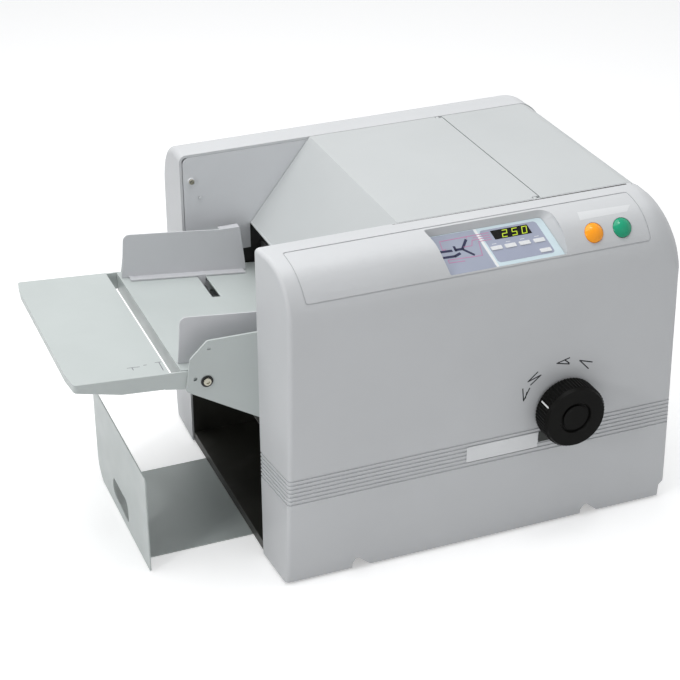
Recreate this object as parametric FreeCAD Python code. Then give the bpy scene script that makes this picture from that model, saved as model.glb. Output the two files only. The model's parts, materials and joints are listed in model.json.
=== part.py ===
import FreeCAD, Part
import math
import os
from functools import lru_cache
from FreeCAD import Vector

# Desktop paper folding machine, in millimetres while it is built up.
# X runs from the feed table to the closed end, Y from the operator's side to the back, Z up.
# Build frame: X 0 at the covers' feed end, Y 0 near the front face, Z 0 at the covers' lower edge.
# Every piece is moved to the part's own origin (centre of the base on the desk) when it is written.

# --- casing -------------------------------------------------------------------------------
cover_length = 470.0
cover_depth = 64.0
rear_cover_depth = 75.0
cover_gap = 255.0
cover_height = 374.0
cover_wall = 3.0
front_ridge_radius = 5.0
front_slant_low = 4.0
front_slant_high = 13.0
rear_ridge_radius = 8.0
rear_slant = 2.4
end_round_x = 45.0
end_round_z = 90.0
end_steps = 6
skirt_height = 16.0
skirt_tuck = 2.5
skirt_end_tuck = 5.0
face_bulge = 4.0
bulge_height = 195.0
shoulder_y = -2.6
shoulder_drop = 59.0
crown_shape = ((1.0, 39.0), (10.0, 21.5), (22.0, 9.5), (40.0, 2.0))
crown_finish = Vector(0, 1, 0.04)
crown_steps = 10
groove_count = 7
groove_pitch = 4.9
groove_width = 2.2
groove_depth = 1.1
groove_first = 102.5
notch_centres = (91.5, 371.5)
notch_width = 21.0
notch_height = 12.5
notch_upright = 6.5
notch_roof = 3.5
notch_radius = 4.0
boss_radius = 6.0
screw_radius = 2.0
boss_bore = 14.0
fit_gap = 0.3
slide_gap = 0.4
running_gap = 0.05

# --- frame --------------------------------------------------------------------------------
side_plate = 2.5
base_sheet = 3.0
base_top = 12.0
foot_drop = 3.0
foot_radius = 9.0
foot_chamfer = 1.2
tie_radius = 6.0
tie_screw_radius = 3.0
bracket_tie = (30.0, 196.0)
tie_spots = ((130.0, 290.0), bracket_tie, (400.0, 262.0), (420.0, 120.0))
boss_low_z = 60.0
boss_spots = ((24.0, boss_low_z), (24.0, 262.0), (205.0, 36.0), (436.0, boss_low_z), (430.0, 262.0))
base_left_x = 2.0
base_flange_x = 150.0
base_flange_height = 11.0
bay_wall = 1.5
bay_wall_end = 142.0
bay_wall_top = 150.0
foot_x = (40.0, 430.0)
foot_y = 80.0
panel_hole = (23.0, cover_height - 54.0)
panel_hole_radius = 2.0
panel_stud = (13.0, cover_height - 32.0)
panel_stud_radius = 4.0

# --- hood ---------------------------------------------------------------------------------
hood_sheet = 3.0
hood_side_gap = 0.8
hood_crease_x = 157.0
hood_edge_x = 82.0
hood_edge_z = cover_height - 96.0
hood_lip = 9.0
hood_split_x = 322.0
hood_split_gap = 1.3
hood_bend_x = 424.0
hood_end_x = 465.0
hood_round_z = 87.0
hood_skirt = 14.0
hinge_radius = 3.0
hinge_pin_radius = 1.4
hinge_back = 4.5
hinge_lug = 5.0
hinge_arm_rise = 1.0
hinge_barrel = 16.0
rear_hood_foot = 3.0
inlet_opening = (262.0, 290.0, 36.0, 56.0)
vent_start = 110.0
vent_pitch = 9.0
vent_width = 3.5
vent_count = 12
vent_low = 60.0
vent_high = 120.0

# --- feed table and infeed -----------------------------------------------------------------
bracket_sheet = 2.5
table_pivot = (-55.9, 232.1)
table_tip_x = -198.0
table_tip_z = 255.2
table_root_x = -84.0
table_root_z = 246.8
table_sheet = 2.0
table_gap_x = 10.0
table_edge = 6.0
table_arm_sheet = 2.5
table_knee_x = -146.0
pivot_radius = 3.5
pivot_head_radius = 4.3
pivot_washer_radius = 6.6
bracket_hole = (-68.2, 236.5)
bracket_hole_radius = 2.2
bracket_slot = (-52.2, 269.1)
infeed_left_x = -82.0
infeed_left_z = 247.0
infeed_right_x = 86.0
infeed_right_z = 228.0
infeed_sheet = 2.0
infeed_skirt = 22.0
infeed_side_gap = 3.6
infeed_step = 20.0
separator_y0 = 172.0
separator_y1 = 211.0
shelf_z = 200.0
pad_thickness = 2.5
holder_height = 8.0
leaf_thickness = 0.8
leaf_width = 12.0
leaf_reach = 9.0
guide_sheet = 1.5
guide_spacing = 211.0
guide_left_x = -80.0
guide_right_x = 68.0
guide_height_left = 53.0
guide_inward = 50.0
guide_outward = 6.0
guide_foot = 10.0
guide_tab = 8.0
guide_lean_left = 4.5
guide_lean_right = 6.0
guide_tab_length = 24.0
guide_top_z = 286.0
guide_slot_x = (6.0, 16.0)
rail_radius = 5.0
rail_drop = 13.0

# --- fold rollers and their drive ----------------------------------------------------------
gear_module = 1.25
roller_teeth = 24
roller_gap = 0.3
roller_hub = (152.0, 205.0)
roller_angles = {1: 105.0, 3: 25.0, 4: -70.0}
journal_radius = 6.0
bush_wall = 2.0
roller_end_gap = 2.5
idler_stud_radius = 4.0
feed_hub_radius = 13.0
gear_width = 10.0
gear_front = 47.0
idler_teeth = 16
feed_centre = (100.0, 249.0)
feed_radius = 20.0
feed_tyre_width = 24.0
feed_tyre_pitch = 52.0
feed_shaft_radius = 6.0
motor_centre = (246.0, 56.0)
motor_radius = 32.0
motor_length = 110.0
motor_shaft_radius = 4.0
motor_nose_radius = 12.0
motor_pulley_radius = 9.0
drive_pulley_radius = 27.0
pulley_width = 12.0
pulley_front = 330.0
belt_thickness = 2.0

# --- fold plates and the selector ----------------------------------------------------------
plate_sheet = 1.5
plate_space = 4.0
upper_angle = 30.0
upper_start = 21.0
upper_length = 215.0
lower_angle = -40.0
lower_start = 9.0
lower_length = 188.0
stop_thickness = 3.0
stop_height = 14.0
stop_pin_radius = 1.5
upper_stop_at = 122.0
lower_stop_at = 125.0
upper_rack_y = 43.0
lower_rack_y = 50.0
rack_layer = 5.0
rack_spine = 7.0
rack_spare = 8.0
carrier_half = 7.0
guide_post_radius = 4.0
knob_centre = (328.0, 153.0)
knob_radius = 37.0
knob_depth = 24.0
knob_gap = 3.0
knob_flutes = 60
knob_shaft_radius = 5.0
pinion_teeth = 36
pinion_module = 1.5
knob_flute_depth = 0.8
knob_rim = 4.0
knob_dish_radius = 18.5
knob_dish_depth = 3.0
knob_bearing_end = 12.0
selector_deg = 105.0

# --- delivery -------------------------------------------------------------------------------
stop_x = -125.0
stop_sheet = 1.5
stop_front_y = 81.0
stop_back_y = 293.0
stop_top = 118.0
tongue_width = 170.0
tray_travel = 110.0
tongue_hold = 32.0
finger_hole = (163.0, 226.0, 8.0, 36.0)
rail_start_x = 8.0
tongue_end_x = rail_start_x + tray_travel + tongue_hold
chute_start_x = 143.0
chute_start_z = 178.0
chute_knee_x = 60.0
chute_knee_z = 146.0
chute_end_x = 24.0
chute_end_z = 122.0
chute_sheet = 2.0

# --- control panel --------------------------------------------------------------------------
panel_angle = 38.5
panel_foot = (2.0, cover_height - 41.0)
panel_left = 190.0
panel_right = 323.0
panel_slope_length = 49.5
panel_lean = 0.25
panel_sheet = 2.0
display_box = (260.0, 303.0, 33.0, 44.0)
key_size = (12.6, 4.6)
key_spots = ((255.8, 23.7), (271.8, 23.7), (288.2, 23.7), (305.0, 23.7), (305.0, 11.4))
key_stand = 1.0
key_travel = 0.7
button_radius = 10.6
button_rise = 4.5
button_travel = 2.5
button_spots = (357.4, 391.0)
button_foot = (9.2, cover_height - 23.0)
button_tilt = 50.0
button_skirt = 10.0
button_dome = 15.0
button_well_wall = 1.8
well_depth = 17.0
board_drop = 9.0
board_sheet = 1.6
pocket_wall = 2.5
pocket_draft_height = 12.0
inlay_left = 30.0
inlay_right = 423.0
inlay_low = -1.2
inlay_high = 59.0
inlay_line = 1.3
inlay_lean = 0.14
inlay_corner = 3.8
inlay_depth = 0.8
inlay_reach = 30.0

machine_depth = 2 * cover_depth + cover_gap
front_mouth = cover_depth
back_mouth = cover_depth + cover_gap
middle_y = machine_depth / 2.0
ground = -foot_drop
y_axis = Vector(0, 1, 0)


# --- small helpers ----------------------------------------------------------------------------
def block(x0, x1, y0, y1, z0, z1):
    return Part.makeBox(x1 - x0, y1 - y0, z1 - z0, Vector(x0, y0, z0))


def rod(centre, radius, y0, y1):
    return Part.makeCylinder(radius, y1 - y0, Vector(centre[0], y0, centre[1]), y_axis)


def ring(centre, outer, inner, y0, y1):
    return rod(centre, outer, y0, y1).cut(rod(centre, inner, y0, y1))


def side_shape(points, y0, y1):
    """A flat outline in XZ, given a thickness along Y."""
    wire = Part.makePolygon([Vector(x, y0, z) for x, z in points + points[:1]])
    return Part.Face(wire).extrude(Vector(0, y1 - y0, 0))


def fuse(shapes):
    whole = shapes[0].multiFuse(shapes[1:]) if len(shapes) > 1 else shapes[0]
    return whole.removeSplitter()


def group(shapes):
    return Part.makeCompound(shapes)


def mirrored(shape):
    """The same piece on the other side of the machine."""
    return shape.mirror(Vector(0, middle_y, 0), y_axis)


def polar(centre, distance, degrees):
    turn = math.radians(degrees)
    return (centre[0] + distance * math.cos(turn), centre[1] + distance * math.sin(turn))


def rounded_outline(points, radii, close_at=None):
    """Closed wire of straight runs with a round corner of radii[i] at points[i]."""
    count = len(points)
    edges = []
    ends = []
    for i in range(count):
        here, before, after = points[i], points[i - 1], points[(i + 1) % count]
        radius = radii[i]
        if radius <= 0:
            ends.append((here, here))
            continue
        back = before.sub(here).normalize()
        ahead = after.sub(here).normalize()
        half = back.getAngle(ahead) / 2.0
        start = here.add(back.multiply(radius / math.tan(half)))
        finish = here.add(ahead.multiply(radius / math.tan(half)))
        bisector = start.add(finish).multiply(0.5).sub(here).normalize()
        middle = here.add(bisector.multiply(radius / math.sin(half) - radius))
        edges.append((i, Part.Arc(start, middle, finish).toShape()))
        ends.append((start, finish))
    arcs = dict(edges)
    ordered = []
    for i in range(count):
        if i in arcs:
            ordered.append(arcs[i])
        start, finish = ends[i][1], ends[(i + 1) % count][0]
        if start.distanceToPoint(finish) > 1e-6:
            ordered.append(Part.makeLine(start, finish))
    return Part.Wire(ordered)


# --- the moulded side covers ---------------------------------------------------------------------
# A style holds what differs between the covers: depth, ridge radius, and how far each end slants
# inwards between the open side and the outer face, at the foot and at the top.
front_style = (cover_depth, front_ridge_radius, front_slant_low, front_slant_high)
rear_style = (rear_cover_depth, rear_ridge_radius, rear_slant, rear_slant)
shoulder_start = cover_height - shoulder_drop
face_arc = Part.Arc(Vector(0, 0, skirt_height), Vector(0, -face_bulge, bulge_height),
                    Vector(0, shoulder_y, shoulder_start)).toShape().Curve


def face_y(z, inset=0.0):
    """Y of a cover's bulging outer face at height z, moved inwards by inset."""
    return face_arc.Center.y - math.sqrt((face_arc.Radius - inset) ** 2 - (z - face_arc.Center.z) ** 2)


def crown_curve(depth, inset, drop):
    """Curve over the top of a cover, lowered by drop and moved inwards by inset."""
    start = shoulder_start - drop
    points = [Vector(0, face_y(start), start)]
    points += [Vector(0, y, cover_height - low - drop) for y, low in crown_shape]
    points.append(Vector(0, depth, cover_height - drop))
    tangent = Vector(0, start - face_arc.Center.z, face_arc.Center.y - face_y(start))
    outer = Part.BSplineCurve()
    outer.interpolate(Points=points, InitialTangent=tangent.normalize(), FinalTangent=crown_finish)
    if inset == 0.0:
        return outer
    moved = []
    for step in range(crown_steps + 1):
        at = outer.FirstParameter + (outer.LastParameter - outer.FirstParameter) * step / crown_steps
        along = outer.tangent(at)[0]
        moved.append(outer.value(at).add(Vector(0, along.z, -along.y).multiply(inset)))
    inner = Part.BSplineCurve()
    inner.interpolate(Points=moved, InitialTangent=tangent, FinalTangent=crown_finish)
    return inner


def cover_section(x, depth, inset, mouth, foot, drop=0.0):
    """YZ outline of a cover at x, closed at Y mouth and Z foot."""
    crown = crown_curve(depth, inset, drop)
    first, last = crown.value(crown.FirstParameter), crown.value(crown.LastParameter)
    tuck = Vector(0, inset + skirt_tuck, foot)
    face_foot = Vector(0, face_y(skirt_height, inset), skirt_height)
    middle_z = (skirt_height + first.z) / 2.0
    bulge = Vector(0, face_y(middle_z, inset), middle_z)
    roof = Vector(0, mouth, last.z)
    edges = [Part.makeLine(tuck, face_foot), Part.Arc(face_foot, bulge, first).toShape(), crown.toShape()]
    if mouth > last.y + 1e-6:
        edges.append(Part.makeLine(last, roof))
    edges.append(Part.makeLine(roof, Vector(0, mouth, foot)))
    edges.append(Part.makeLine(Vector(0, mouth, foot), tuck))
    wire = Part.Wire(edges)
    wire.translate(Vector(x, 0, 0))
    return wire


def end_slant(style, z):
    depth, ridge, low, high = style
    return low + (high - low) * z / cover_height


def feed_end_wedge(style, inset, foot):
    """What the slanting feed end leaves off, outside the cover."""
    depth, reach = style[0], 20.0
    wires = []
    for z in (foot - 1.0, cover_height + 1.0):
        share = end_slant(style, z) / (depth + face_bulge)
        back = Vector(inset - share * reach, depth + reach, z)
        nose = Vector(inset + share * (depth + face_bulge + reach), -face_bulge - reach, z)
        corners = [nose, back, Vector(-2 * reach, depth + reach, z), Vector(-2 * reach, -face_bulge - reach, z)]
        wires.append(Part.makePolygon(corners + corners[:1]))
    return Part.makeLoft(wires, True, True)


def closed_end_plan(style, inset, foot):
    """Prism that bounds the closed end: slanting, round at the ridge, tucked in at the skirt."""
    depth, ridge = style[:2]
    reach = 20.0
    nose = inset - face_bulge
    wires = []
    for z, tuck in ((foot, skirt_end_tuck), (skirt_height, skirt_end_tuck),
                    (skirt_height + skirt_end_tuck, 0.0), (cover_height + 1.0, 0.0)):
        right = cover_length - inset - tuck
        slant = end_slant(style, z)
        share = slant / (depth + face_bulge)
        corners = [Vector(-reach, nose, z), Vector(right - slant, nose, z),
                   Vector(right + share * reach, depth + reach, z), Vector(-reach, depth + reach, z)]
        wires.append(rounded_outline(corners, [0, ridge - inset, 0, 0]))
    return Part.makeLoft(wires, True, True)


@lru_cache(maxsize=None)
def cover_form(style, inset=0.0, mouth=0.0, foot=0.0):
    """Solid shape of a cover, its walls moved inwards by inset and its open side outwards by mouth."""
    depth, ridge = style[:2]
    bend_x = cover_length - end_round_x
    straight = Part.Face(cover_section(0.0, depth, inset, depth + mouth, foot)).extrude(Vector(bend_x, 0, 0))
    straight = straight.cut(feed_end_wedge(style, inset, foot))
    ridges = [edge for edge in straight.Edges if is_feed_ridge(edge, style, inset, foot)]
    straight = straight.makeFillet(ridge - inset, ridges)
    sections = []
    for step in range(end_steps + 1):
        turn = math.pi / 2.0 * step / end_steps
        drop = (end_round_z - inset) * (1.0 - math.cos(turn))
        sections.append(cover_section(bend_x + (end_round_x - inset) * math.sin(turn), depth, inset,
                                      depth + mouth, foot, drop))
    bend = Part.makeLoft(sections, True, False)
    return straight.fuse(bend).common(closed_end_plan(style, inset, foot))


def is_feed_ridge(edge, style, inset, foot):
    """Whether an edge joins the slanting feed end to the outer face or the crown."""
    box = edge.BoundBox
    on_mouth = box.YMin > style[0] - 0.01
    on_foot = box.ZMax < foot + 0.01
    return box.XMax < inset + 2 * front_slant_high and not on_mouth and not on_foot


def grooves(style):
    """The band of fine lines round the lower part of a cover."""
    slabs = []
    depth = style[0]
    for index in range(groove_count):
        low = groove_first + index * groove_pitch - groove_width / 2.0
        slabs.append(block(-10, cover_length + 10, -20, depth + 5, low, low + groove_width))
    band = cover_form(style, -0.5, 1.0).cut(cover_form(style, groove_depth, 2.0))
    return band.common(group(slabs))


def notch(x):
    """Finger notch in the lower edge of the outer wall, with one upright and one sloping side."""
    left, right = x - notch_width / 2.0, x + notch_width / 2.0
    outline = ((left, -5.0), (left, notch_upright), (left + notch_roof, notch_height),
               (left + 2 * notch_roof, notch_height), (right, 0.0), (right, -5.0))
    points = [Vector(px, -20, pz) for px, pz in outline]
    face = Part.Face(rounded_outline(points, [0, notch_radius, 0, 0, 0, 0]))
    return face.extrude(Vector(0, 20 + cover_wall + 2 * skirt_tuck, 0))


def plain_cover(style):
    """Cover shell with its grooves, notches and screw bosses, its outer face at Y 0."""
    shell = cover_form(style).cut(cover_form(style, cover_wall, 5.0, -5.0))
    shell = shell.cut(grooves(style))
    for x in notch_centres:
        shell = shell.cut(notch(x))
    plate_face = style[0] - side_plate
    posts = group([rod(spot, boss_radius, -face_bulge, plate_face) for spot in boss_spots])
    shell = shell.fuse(posts.common(cover_form(style, cover_wall / 2.0, 5.0)))
    for spot in boss_spots:
        shell = shell.cut(rod(spot, screw_radius, plate_face - boss_bore, plate_face + 1.0))
    return shell


def rear_cover():
    """Plain cover of the motor side, deeper than the front one, turned to face the back."""
    shell = plain_cover(rear_style)
    shell.translate(Vector(0, cover_depth - rear_cover_depth, 0))
    return mirrored(shell)


# --- control panel frame: u along X, v up the slope, n out of the panel -----------------------------
panel_turn = math.radians(panel_angle)
panel_out = Vector(0, -math.sin(panel_turn), math.cos(panel_turn))


def slope_point(x, v, n):
    y = panel_foot[0] + v * math.cos(panel_turn) - n * math.sin(panel_turn)
    z = panel_foot[1] + v * math.sin(panel_turn) + n * math.cos(panel_turn)
    return Vector(x, y, z)


def panel_corners(u0, u1, v0, v1, n):
    """Corners of a leaning patch on the panel, counted from its lower left."""
    return [slope_point(u - panel_lean * v, v, n) for u, v in ((u0, v0), (u1, v0), (u1, v1), (u0, v1))]


def panel_prism(u0, u1, v0, v1, n0, n1, radii=(0, 0, 0, 0)):
    face = Part.Face(rounded_outline(panel_corners(u0, u1, v0, v1, n0), list(radii)))
    return face.extrude(Vector(panel_out).multiply(n1 - n0))


def key_hole(spot, margin, n0, n1):
    half_u, half_v = key_size[0] / 2.0 + margin, key_size[1] / 2.0 + margin
    u, v = spot
    return panel_prism(u - half_u, u + half_u, v - half_v, v + half_v, n0, n1, [0.8] * 4)


def panel_pocket():
    """The scooped recess over the control panel, wider at its mouth."""
    depth = Vector(0, 0, pocket_draft_height)
    floor_corners = panel_corners(panel_left, panel_right, 0.0, panel_slope_length, 0.0)
    floor = rounded_outline(floor_corners, [1.5, 1.5, 6.0, 1.5])
    mouth_corners = [floor_corners[0].add(Vector(-3.0, -2.0, 0)), floor_corners[1].add(Vector(1.5, -2.0, 0)),
                     floor_corners[2].add(Vector(7.0, 1.0, 0)), floor_corners[3].add(Vector(-3.0, 1.0, 0))]
    mouth = rounded_outline([corner.add(depth) for corner in mouth_corners], [2.0, 2.0, 16.0, 3.0])
    scoop = Part.makeLoft([floor, mouth], True, True)
    above = Part.Face(mouth).extrude(Vector(0, 0, 60.0))
    seat = panel_prism(panel_left, panel_right, 0.0, panel_slope_length, -panel_sheet, 0.0,
                       [1.5, 1.5, 6.0, 1.5])
    return scoop.fuse(above).fuse(seat)


def pocket_backing():
    """Wall of the cover under and around the recess."""
    rim = pocket_wall
    face = Part.Face(rounded_outline(
        panel_corners(panel_left - 3.0 - rim, panel_right + 8.0 + rim, -rim, panel_slope_length + 1.0 + rim,
                      -panel_sheet - rim), [2.0] * 4))
    return face.extrude(Vector(0, 0, 60.0))


def inlay_groove():
    """Fine line that frames the upper part of the front cover."""
    frames = []
    for shrink in (0.0, inlay_line):
        left, right = inlay_left + shrink, inlay_right - shrink
        low, high = inlay_low + shrink, inlay_high - shrink
        corners = [slope_point(u - inlay_lean * v, v, -inlay_reach)
                   for u, v in ((left, low), (right, low), (right, high), (left, high))]
        face = Part.Face(rounded_outline(corners, [inlay_corner - shrink] * 4))
        frames.append(face.extrude(Vector(panel_out).multiply(2 * inlay_reach)))
    skin = cover_form(front_style, -0.5).cut(cover_form(front_style, inlay_depth, 5.0, -5.0))
    return frames[0].cut(frames[1]).common(skin)


# --- push buttons beside the panel ----------------------------------------------------------------
button_turn = math.radians(button_tilt)
button_out = Vector(0, -math.sin(button_turn), math.cos(button_turn))


def on_button_axis(x, radius, n0, n1):
    foot = Vector(x, button_foot[0], button_foot[1]).add(Vector(button_out).multiply(n0))
    return Part.makeCylinder(radius, n1 - n0, foot, button_out)


def push_button(x):
    """Round cap with a domed top; its skirt slides in the cover's well."""
    skirt = on_button_axis(x, button_radius, -button_skirt, button_dome)
    ball = Vector(x, button_foot[0], button_foot[1]).add(Vector(button_out).multiply(
        button_rise - button_dome))
    return skirt.common(Part.makeSphere(button_dome, ball))


def button_well(x):
    return on_button_axis(x, button_radius + slide_gap + button_well_wall, -well_depth, button_rise + 5.0)


def button_bore(x):
    return on_button_axis(x, button_radius + slide_gap, -well_depth - 1.0, button_rise + 10.0)


def button_switches():
    """The two switch bodies pushed into the lower ends of the wells."""
    bodies = []
    for x in button_spots:
        top = -button_skirt - button_travel - slide_gap
        body = on_button_axis(x, button_radius + slide_gap - running_gap, -well_depth - 8.0, top - 2.0)
        plunger = on_button_axis(x, 3.0, top - 2.0, top)
        bodies.append(body.fuse(plunger))
    return group(bodies)


def front_cover():
    shell = plain_cover(front_style)
    shell = shell.fuse(pocket_backing().common(cover_form(front_style)))
    wells = group([button_well(x) for x in button_spots])
    shell = shell.fuse(wells.common(cover_form(front_style)))
    shell = shell.fuse(rod(knob_centre, knob_shaft_radius + 4.0, -face_bulge + 1.0, knob_bearing_end))
    shell = shell.cut(panel_pocket())
    shell = shell.cut(panel_prism(panel_left + 56.0, panel_right - 6.0, 5.0, panel_slope_length - 3.0,
                                  -20.0, 0.0))
    for x in button_spots:
        shell = shell.cut(button_bore(x))
    shell = shell.cut(rod(knob_centre, knob_shaft_radius + running_gap, -20.0, knob_bearing_end + 1.0))
    return shell.cut(inlay_groove())


def control_panel():
    """Sheet in the recess that carries the display and the keys."""
    sheet = panel_prism(panel_left + fit_gap, panel_right - fit_gap, fit_gap,
                        panel_slope_length - fit_gap, -panel_sheet, 0.0, [1.5, 1.5, 6.0, 1.5])
    u0, u1, v0, v1 = display_box
    sheet = sheet.cut(panel_prism(u0, u1, v0, v1, -panel_sheet - 1, 1.0))
    for spot in key_spots:
        sheet = sheet.cut(key_hole(spot, slide_gap, -panel_sheet - 1, 1.0))
    return sheet


def display_window():
    u0, u1, v0, v1 = display_box
    margin = running_gap
    return panel_prism(u0 + margin, u1 - margin, v0 + margin, v1 - margin, -panel_sheet, 0.2)


def panel_key(spot):
    cap = key_hole(spot, 0.0, -panel_sheet - 1.0, key_stand)
    return cap


def circuit_board():
    """Board behind the panel with its spacers, key switches and the lamp block of the display."""
    top = -board_drop
    board = panel_prism(panel_left + 50.0, panel_right - 1.0, 2.0, panel_slope_length - 1.0,
                        top - board_sheet, top)
    u0, u1, v0, v1 = display_box
    pieces = [board, panel_prism(u0, u1, v0, v1, top, -panel_sheet - running_gap)]
    for spot in key_spots:
        pieces.append(key_hole(spot, -1.0, top, -panel_sheet - 1.0 - key_travel - 0.2))
    underside = -panel_sheet - pocket_wall
    for u in (panel_left + 53.0, panel_right - 3.5):
        for v in (4.0, panel_slope_length - 3.0):
            pieces.append(panel_prism(u - 2.0, u + 2.0, v - 1.5, v + 1.5, top, underside))
    return fuse(pieces)


# --- frame -----------------------------------------------------------------------------------------
def placed_line(start, degrees, along, across):
    """Point at a distance along, and to the left of, a line that starts at start."""
    turn = math.radians(degrees)
    return (start[0] + along * math.cos(turn) - across * math.sin(turn),
            start[1] + along * math.sin(turn) + across * math.cos(turn))


def band(start, degrees, along, across, y0, y1):
    """Straight bar in XZ between two distances along and two across a line."""
    corners = [placed_line(start, degrees, along[i], across[j]) for i, j in ((0, 0), (1, 0), (1, 1), (0, 1))]
    return side_shape(corners, y0, y1)


roller_pitch = gear_module * roller_teeth
roller_radius = (roller_pitch - roller_gap) / 2.0
roller_centres = {2: roller_hub}
for number, degrees in roller_angles.items():
    roller_centres[number] = polar(roller_hub, roller_pitch, degrees)


def halfway(a, b):
    return ((a[0] + b[0]) / 2.0, (a[1] + b[1]) / 2.0)


upper_origin = halfway(roller_centres[1], roller_centres[3])
lower_origin = halfway(roller_centres[3], roller_centres[4])
pinion_radius = pinion_module * pinion_teeth / 2.0
stop_travel = pinion_radius * math.radians(selector_deg)

gear_radius = roller_pitch / 2.0
idler_radius = gear_module * idler_teeth / 2.0


def idler_spot():
    """Where the idler meshes with the gears of the first roller and of the feed shaft."""
    first = roller_centres[1]
    dx, dz = feed_centre[0] - first[0], feed_centre[1] - first[1]
    span = math.hypot(dx, dz)
    arm = gear_radius + idler_radius
    rise = math.sqrt(arm * arm - span * span / 4.0)
    middle = halfway(first, feed_centre)
    return (middle[0] + rise * dz / span, middle[1] - rise * dx / span)


idler_centre = idler_spot()
bearing_spots = [roller_centres[n] for n in (1, 2, 3, 4)] + [feed_centre]
bush_radius = journal_radius + bush_wall


def stop_slot(origin, degrees, first, travel, y0, y1):
    """Slot in a side plate for the pin of a fold stop."""
    margin = stop_pin_radius + 1.0
    low, high = sorted((first, first + travel))
    slot = band(origin, degrees, (low, high), (-margin, margin), y0, y1)
    for along in (low, high):
        slot = slot.fuse(rod(placed_line(origin, degrees, along, 0.0), margin, y0, y1))
    return slot


def quarter_round(corner, reach_x, reach_z):
    """Quarter ellipse that rounds a corner, from reach_x beside it to reach_z below it."""
    arc = Part.BezierCurve()
    arc.setPoles([corner.sub(Vector(reach_x, 0, 0)), corner, corner.sub(Vector(0, 0, reach_z))])
    arc.setWeight(2, math.sqrt(0.5))
    return arc.toShape()


def side_outline(left, right, low, high, round_x, round_z, y, left_round=0.0):
    """XZ face of a piece between the covers, elliptically rounded at the top of the closed end."""
    edges = [quarter_round(Vector(right, y, high), round_x, round_z)]
    corners = [Vector(right, y, high - round_z), Vector(right, y, low), Vector(left, y, low),
               Vector(left, y, high - left_round)]
    edges += [Part.makeLine(corners[i], corners[i + 1]) for i in range(len(corners) - 1)]
    if left_round > 0.0:
        edges.append(quarter_round(Vector(left, y, high), -left_round, left_round))
    edges.append(Part.makeLine(Vector(left + left_round, y, high), Vector(right - round_x, y, high)))
    return Part.Face(Part.Wire(edges))


def side_plate_blank():
    """Steel side plate with the holes that both sides share."""
    y0, y1 = front_mouth - side_plate, front_mouth
    inset = cover_wall + fit_gap
    slanted = inset + front_slant_high * side_plate / cover_depth
    outline = side_outline(slanted, cover_length - inset - skirt_end_tuck, 0.0, cover_height - inset,
                           end_round_x - inset, end_round_z - inset, y0, rear_ridge_radius)
    plate = outline.extrude(Vector(0, side_plate, 0))
    holes = [rod(spot, bush_radius, y0 - 1, y1 + 1) for spot in bearing_spots]
    holes += [rod(spot, screw_radius, y0 - 1, y1 + 1) for spot in boss_spots]
    holes += [rod(spot, tie_screw_radius, y0 - 1, y1 + 1) for spot in tie_spots]
    return plate.cut(group(holes))


def front_side_plate():
    """Drive-side plate: slots for the fold stops, knob bearing and the stud of the idler."""
    y0, y1 = front_mouth - side_plate, front_mouth
    plate = side_plate_blank()
    plate = plate.cut(stop_slot(upper_origin, upper_angle, upper_stop_at, stop_travel, y0 - 1, y1 + 1))
    plate = plate.cut(stop_slot(lower_origin, lower_angle, lower_stop_at, -stop_travel, y0 - 1, y1 + 1))
    plate = plate.cut(rod(knob_centre, knob_shaft_radius + running_gap, y0 - 1, y1 + 1))
    stud = rod(idler_centre, idler_stud_radius, gear_front - 1.5, y1)
    return plate.fuse(stud).removeSplitter()


def rear_side_plate():
    """Motor-side plate: opening for the motor's nose, and the hole and stud seen above the table."""
    plate = mirrored(side_plate_blank())
    y0, y1 = back_mouth, back_mouth + side_plate
    plate = plate.cut(rod(motor_centre, motor_nose_radius + fit_gap, y0 - 1, y1 + 1))
    plate = plate.cut(rod(panel_hole, panel_hole_radius, y0 - 1, y1 + 1))
    stud = Part.makeCone(panel_stud_radius, panel_stud_radius - 1.0, 2.0,
                         Vector(panel_stud[0], y0, panel_stud[1]), Vector(0, -1, 0))
    return plate.fuse(stud).removeSplitter()


def base_plate():
    """Folded floor pan with its front lip, side flanges, and the rails of the delivery tray."""
    x0, x1 = base_left_x, hood_end_x - hood_sheet - fit_gap
    pan = block(x0, x1, front_mouth, back_mouth, base_top - base_sheet, base_top)
    lip = block(x0, x0 + base_sheet, front_mouth, back_mouth, 0.0, base_top)
    flange = block(base_flange_x, x1, front_mouth, front_mouth + base_sheet, base_top,
                   base_top + base_flange_height)
    wall_outline = [(x0, base_top), (bay_wall_end, base_top), (bay_wall_end, bay_wall_top), (x0, bay_wall_top)]
    wall = side_shape(wall_outline, front_mouth, front_mouth + bay_wall)
    pieces = [pan, lip, flange, mirrored(flange), wall, mirrored(wall)]
    half = tongue_width / 2.0 + fit_gap
    rail_low = ground + 0.5
    rail = block(rail_start_x, tongue_end_x, middle_y - half - 1.6, middle_y - half,
                 rail_low, base_top - base_sheet)
    keeper = block(rail_start_x, tongue_end_x, middle_y - half - 1.6, middle_y - half + 6.0,
                   tongue_low + stop_sheet + slide_gap, tongue_low + stop_sheet + slide_gap + 1.5)
    return fuse(pieces + [rail, keeper, mirrored(rail), mirrored(keeper)])


def tie_bars():
    """Round bars between the side plates, each with a screw head at both ends."""
    bars = []
    for spot in tie_spots:
        bar = rod(spot, tie_radius, front_mouth, back_mouth)
        screw = rod(spot, tie_screw_radius - running_gap, front_mouth - side_plate, front_mouth)
        head = hexagon(spot, tie_screw_radius + 2.5, front_mouth - side_plate - 3.0,
                       front_mouth - side_plate)
        bars.append(fuse([bar, screw, head, mirrored(screw), mirrored(head)]))
    return group(bars)


def hexagon(centre, radius, y0, y1):
    return side_shape([polar(centre, radius, 60.0 * i) for i in range(6)], y0, y1)


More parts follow.
